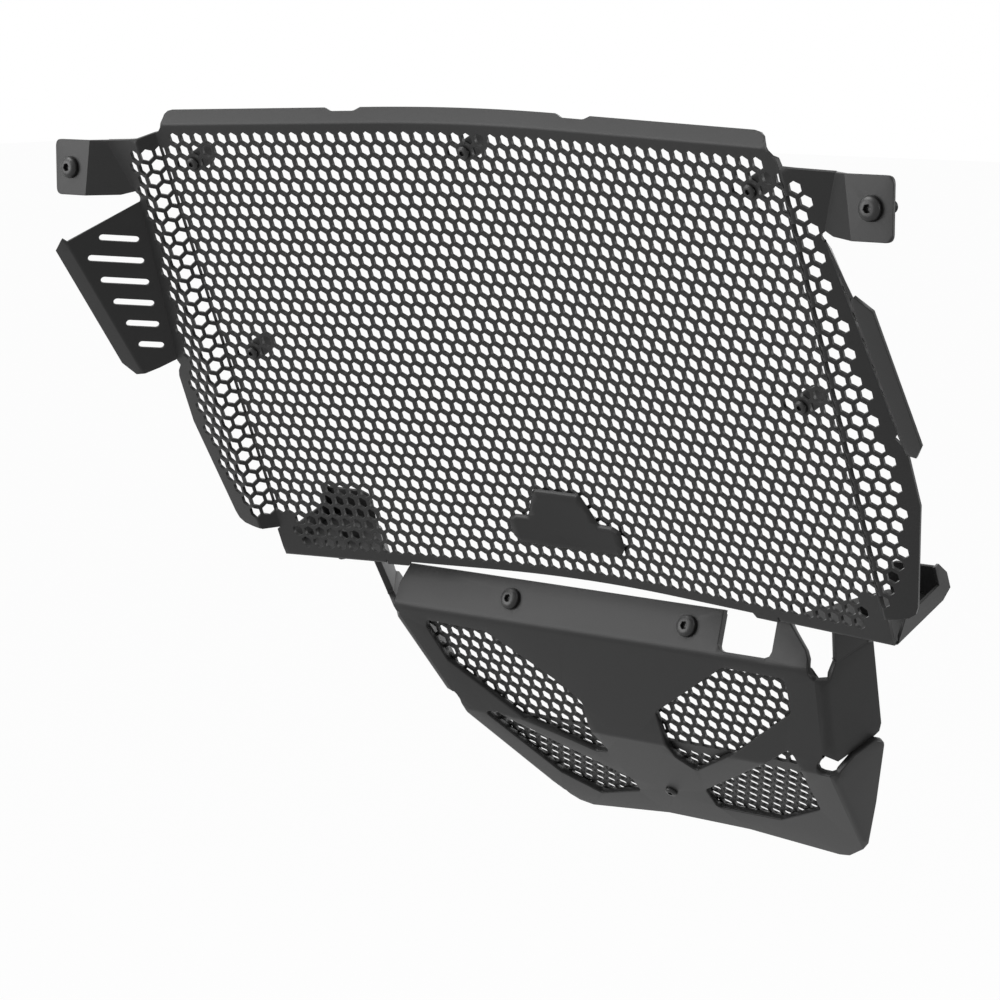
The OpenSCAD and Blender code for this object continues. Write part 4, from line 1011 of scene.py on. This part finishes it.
# %% Screws through the ears, the band and the feet
BACK = np.array([0.0, 1, 0])
M5_PITCH, M3_PITCH = 0.8, 0.5
EAR_SCREW_LEN, CLAMP_SCREW_LEN, MESH_SCREW_LEN = 14, 8.6, 7
NECK_LEN = SHEET + 0.2
for side, name in ((-1, "left"), (1, "right")):
    ear = np.array([side * EAR_X, TAB_Y - SHEET / 2, EAR_Z])
    screw_piece("ear_bolt_" + name, "ear_screw_" + name, ear, BACK, M5_SCREW, EAR_SCREW_LEN,
                M5_PITCH, NECK_LEN)
    band = lower_point(side * BAND_SCREW[0], BAND_SCREW[1])
    into = -front_at(np.array(FACE_LEAN + BAND_TURN))
    screw_piece("band_bolt_" + name, "band_screw_" + name, band, into, M5_SCREW, CLAMP_SCREW_LEN, M5_PITCH)
    nut_piece("band_lock_" + name, "band_nut_" + name, band + (PLATE + MESH) * into, into, M5_NUT)
    foot, up = in_tray(*JOINT, TRAY_UNDER - PLATE) * [side, 1, 1], leaned(np.array([0.0, 0, 1]))
    screw_piece("tray_bolt_" + name, "joint_screw_" + name, foot, up, M5_SCREW, CLAMP_SCREW_LEN, M5_PITCH)
    nut_piece("tray_lock_" + name, "joint_nut_" + name, foot + (PLATE + SHEET) * up, up, M5_NUT)
low, into = lower_point(*MESH_SCREW), -front_at(np.array(FACE_LEAN + LOW_TURN))
screw_piece("window_bolt", "mesh_screw", low, into, M3_SCREW, MESH_SCREW_LEN)
nut_piece("window_lock", "mesh_nut", low + (PLATE + MESH) * into, into, M3_NUT)

# %% [markdown]
# Five rubber bumpers keep the mesh off the radiator. Each is held by a small screw from the front
# and a nut sunk in its rear end. They stand square to the bent panel, a hair off its faces.

# %% Bumpers
OFF, BUMPER_SCREW_LEN = 0.02, 8.9
BUMPER_X, BUMPER_TOP, BUMPER_LOW = 146.25, -11.26, -101.32
bumper_places = [(-BUMPER_X, BUMPER_TOP), (0, -5.63), (BUMPER_X, BUMPER_TOP),
                 (-BUMPER_X, BUMPER_LOW), (BUMPER_X, BUMPER_LOW)]
for number, place in enumerate(bumper_places, 1):
    front, inner = [on_panel(np.array([place], float), depth)[0] for depth in (0.0, 1.0)]
    axis = unit(inner - front)
    num, behind = str(number), front + (SHEET + OFF) * axis
    pocket = behind + (BUMPER_LONG - POCKET_DEEP) * axis
    screw_piece("bumper_bolt_" + num, "bumper_screw_" + num, front - OFF * axis, axis, M3_SCREW,
                BUMPER_SCREW_LEN, M3_PITCH)
    make_piece("rubber_bumper_" + num, [bumper(behind, axis)], ["bumper_" + num], "rubber", 50)
    nut_piece("bumper_lock_" + num, "bumper_nut_" + num, pocket, axis, M3_NUT)

# %% [markdown]
# ## Finishes
# Satin powder coat is nearly black paint with a fine, slightly bumpy skin. Its grey comes from
# the white room that it mirrors softly. Sums of sockets are written as plain formulas through a
# small class, and every other node comes from one method.

# %% Writing shader sums as formulas
class Sum:
    """A socket that may stand in a formula; each operator adds one Math node."""

    def __init__(self, finish, socket):
        self.finish, self.socket = finish, socket

    def _math(self, operation, a, b):
        return self.finish.node("ShaderNodeMath", {"operation": operation}, {0: a, 1: b})

    def __add__(self, other):
        return self._math("ADD", self, other)

    def __radd__(self, other):
        return self._math("ADD", other, self)

    def __mul__(self, other):
        return self._math("MULTIPLY", self, other)

    def __rmul__(self, other):
        return self._math("MULTIPLY", other, self)


class Finish:
    """A material under construction. node() adds any node: type, settings, inputs, output."""

    def __init__(self, name):
        self.material = bpy.data.materials.new(name)
        self.material.use_nodes = True
        self.tree = self.material.node_tree
        self.tree.nodes.clear()
        self.place = self.node("ShaderNodeTexCoord", {}, {}, "Object")

    def node(self, kind, settings, inputs, output=0):
        made = self.tree.nodes.new(kind)
        for key, value in settings.items():
            setattr(made, key, value)
        for key, value in inputs.items():
            if isinstance(value, Sum):
                self.tree.links.new(value.socket, made.inputs[key])
            else:
                made.inputs[key].default_value = value
        return Sum(self, made.outputs[output]) if made.outputs else made

    def noise(self, scale, detail=2.0, rough=0.5):
        inputs = {"Vector": self.place, "Scale": scale, "Detail": detail, "Roughness": rough}
        return self.node("ShaderNodeTexNoise", {}, inputs, "Fac")

    def blend(self, factor, a, b):
        return self.node("ShaderNodeMix", {"data_type": "RGBA"}, {0: factor, 6: a, 7: b}, 2)

    def bump(self, distance, height):
        return self.node("ShaderNodeBump", {}, {"Strength": 1.0, "Distance": distance, "Height": height})

    def done(self, shader):
        self.node("ShaderNodeOutputMaterial", {}, {"Surface": shader})
        return self.material

    def surface(self, **inputs):
        return self.node("ShaderNodeBsdfPrincipled", {}, {k.replace("_", " "): v for k, v in inputs.items()})


def grey(level):
    return (level, level, level, 1)


# %% [markdown]
# Powder coat is sprayed on as dust and melted. Its skin has a fine grain that breaks up what it
# mirrors, and a broad, faint cloud where the coat is thicker. One function makes every coat, with
# its own greys, roughness and grain. The mesh behind the plate's windows gets a darker copy of the
# plates' coat, as painted shade for the light that the plate keeps off it.

# %% Powder coat, badge and rubber
def powder_coat(name, low, high, rough, grain, bump):
    """Two greys mixed by a broad cloud and a fine speckle; roughness and bump from the same skin."""
    f = Finish(name)
    cloud, speckle = f.noise(14, 3), f.noise(grain, 2, 0.6)
    colour = f.blend(cloud * 0.4 + speckle * 0.6, grey(low), grey(high))
    normal = f.bump(bump, speckle + 0.4 * f.noise(grain * 2.7))
    return f.done(f.surface(Base_Color=colour, Roughness=rough - 0.05 + 0.1 * speckle, Normal=normal,
                            Specular_IOR_Level=0.24))


coat = powder_coat("satin_black_powder_coat", 0.010, 0.020, 0.42, 1500, 0.00002)
# A darker copy of the plate coat: painted shade for the mesh that sits behind the plate's windows
coat_mesh = powder_coat("satin_black_coat_painted_shade", 0.006, 0.013, 0.44, 1500, 0.00002)
badge_coat = powder_coat("smooth_black_badge", 0.008, 0.013, 0.36, 2400, 0.000006)
rubber = powder_coat("black_rubber", 0.006, 0.012, 0.72, 900, 0.00004)

# %% [markdown]
# The screws and nuts are steel with a black zinc skin, which is thin and smooth, so it mirrors
# more than the coat does.

# %% Blackened steel, and each piece's finish
def black_steel(name):
    """Black zinc on steel: a fine speckle in colour and bump, a broader cloud in roughness."""
    f = Finish(name)
    speckle = f.noise(2200, 2)
    colour = f.blend(speckle, grey(0.010), grey(0.022))
    return f.done(f.surface(Base_Color=colour, Roughness=0.34 + 0.12 * f.noise(400), Metallic=0.35,
                            Normal=f.bump(0.000008, speckle)))


steel = black_steel("black_zinc_steel")
finishes = {"coat": coat, "coat_mesh": coat_mesh, "badge": badge_coat, "rubber": rubber,
            "black_steel": steel}
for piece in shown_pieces():
    finish = finishes.get(piece.get("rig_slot"), coat)
    if piece.type == "MESH":
        piece.data.materials.clear()
        piece.data.materials.append(finish)

# %% [markdown]
# ## Camera, room and light
# The camera was solved from the holes of the honeycomb. The room is white: the object mirrors it,
# and the camera sees it as plain white. Soft lamps above and beside it give the top flange, the
# ears and the upper band their lighter grey.

# %% Camera
camera_data = bpy.data.cameras.new("camera")
camera_data.lens, camera_data.sensor_width, camera_data.sensor_fit = 120.75, 36.0, "HORIZONTAL"
camera_data.clip_end = 50
camera = bpy.data.objects.new("camera", camera_data)
bpy.context.scene.collection.objects.link(camera)
camera.location = Vector((1.0864, -0.9878, 0.07845))
target = Vector((0.22823, 0.017, -0.12501))
camera.rotation_euler = (target - camera.location).to_track_quat("-Z", "Y").to_euler()
bpy.context.scene.camera = camera
bpy.context.scene.view_settings.view_transform = "Standard"
print("camera distance:", round((target - camera.location).length, 3), "m")

# %% [markdown]
# Rays from the camera, and rays that a glossy or clear surface sends on, meet plain white. Other
# rays meet a dim fill, so that the lamps shape the light. The floor works in the same way, and
# keeps its soft shadow.

# %% Room
world = bpy.data.worlds.new("room")
bpy.context.scene.world = world
world.use_nodes = True
tree = world.node_tree
tree.nodes.clear()
path = tree.nodes.new("ShaderNodeLightPath")
seen_white = tree.nodes.new("ShaderNodeBackground")
seen_white.inputs[0].default_value, seen_white.inputs[1].default_value = (1, 1, 1, 1), 1.0
fill = tree.nodes.new("ShaderNodeBackground")
fill.inputs[0].default_value, fill.inputs[1].default_value = (1, 1, 1, 1), 0.2
choose = tree.nodes.new("ShaderNodeMixShader")
out = tree.nodes.new("ShaderNodeOutputWorld")
white_rays = path.outputs["Is Camera Ray"]
for name in ("Is Glossy Ray", "Is Transmission Ray"):
    either = tree.nodes.new("ShaderNodeMath")
    tree.links.new(white_rays, either.inputs[0])
    tree.links.new(path.outputs[name], either.inputs[1])
    white_rays = either.outputs[0]
tree.links.new(white_rays, choose.inputs[0])
tree.links.new(fill.outputs[0], choose.inputs[1])
tree.links.new(seen_white.outputs[0], choose.inputs[2])
tree.links.new(choose.outputs[0], out.inputs[0])

bpy.ops.mesh.primitive_plane_add(size=30, location=(0.2, 0, -0.9))
floor = bpy.context.object
floor.name = "floor"
f = Finish("pale_floor")
white = f.node("ShaderNodeEmission", {}, {"Color": (1, 1, 1, 1), "Strength": 1.0})
plain = f.surface(Base_Color=f.blend(f.noise(3), grey(0.56), grey(0.6)), Roughness=0.8)
rays = ["Is Camera Ray", "Is Glossy Ray", "Is Transmission Ray"]
sees_white = sum(f.node("ShaderNodeLightPath", {}, {}, kind) for kind in rays)
mixed = f.node("ShaderNodeMixShader", {}, {0: sees_white * 0.97, 1: plain, 2: white})
floor.data.materials.append(f.done(mixed))
print("floor at", floor.location.z, "m, seen white by", rays)

# %% [markdown]
# Four large square lamps face the object. Two at the left front light the flange, the ears and
# the band, one behind at the right draws the rims, and a weak one lifts the rear.

# %% Lamps
MIDDLE = Vector((0.21, 0.05, -0.13))


def lamp(name, place, size, power):
    """A soft square lamp that faces the middle of the object."""
    data = bpy.data.lights.new(name, "AREA")
    data.shape, data.size, data.energy = "SQUARE", size, power
    lamp = bpy.data.objects.new(name, data)
    bpy.context.scene.collection.objects.link(lamp)
    lamp.location = place
    lamp.rotation_euler = (MIDDLE - lamp.location).to_track_quat("-Z", "Y").to_euler()


lamp("lamp_above_left", (-0.7, -0.9, 1.5), 1.3, 44)
lamp("lamp_front_left", (-1.3, -1.75, 0.1), 1.3, 33)
lamp("lamp_right_behind", (1.9, 0.9, 0.5), 1.3, 36)
lamp("lamp_behind", (-0.6, 1.7, 0.4), 1.2, 8)
print("lamps:", [light.name for light in bpy.data.lights])
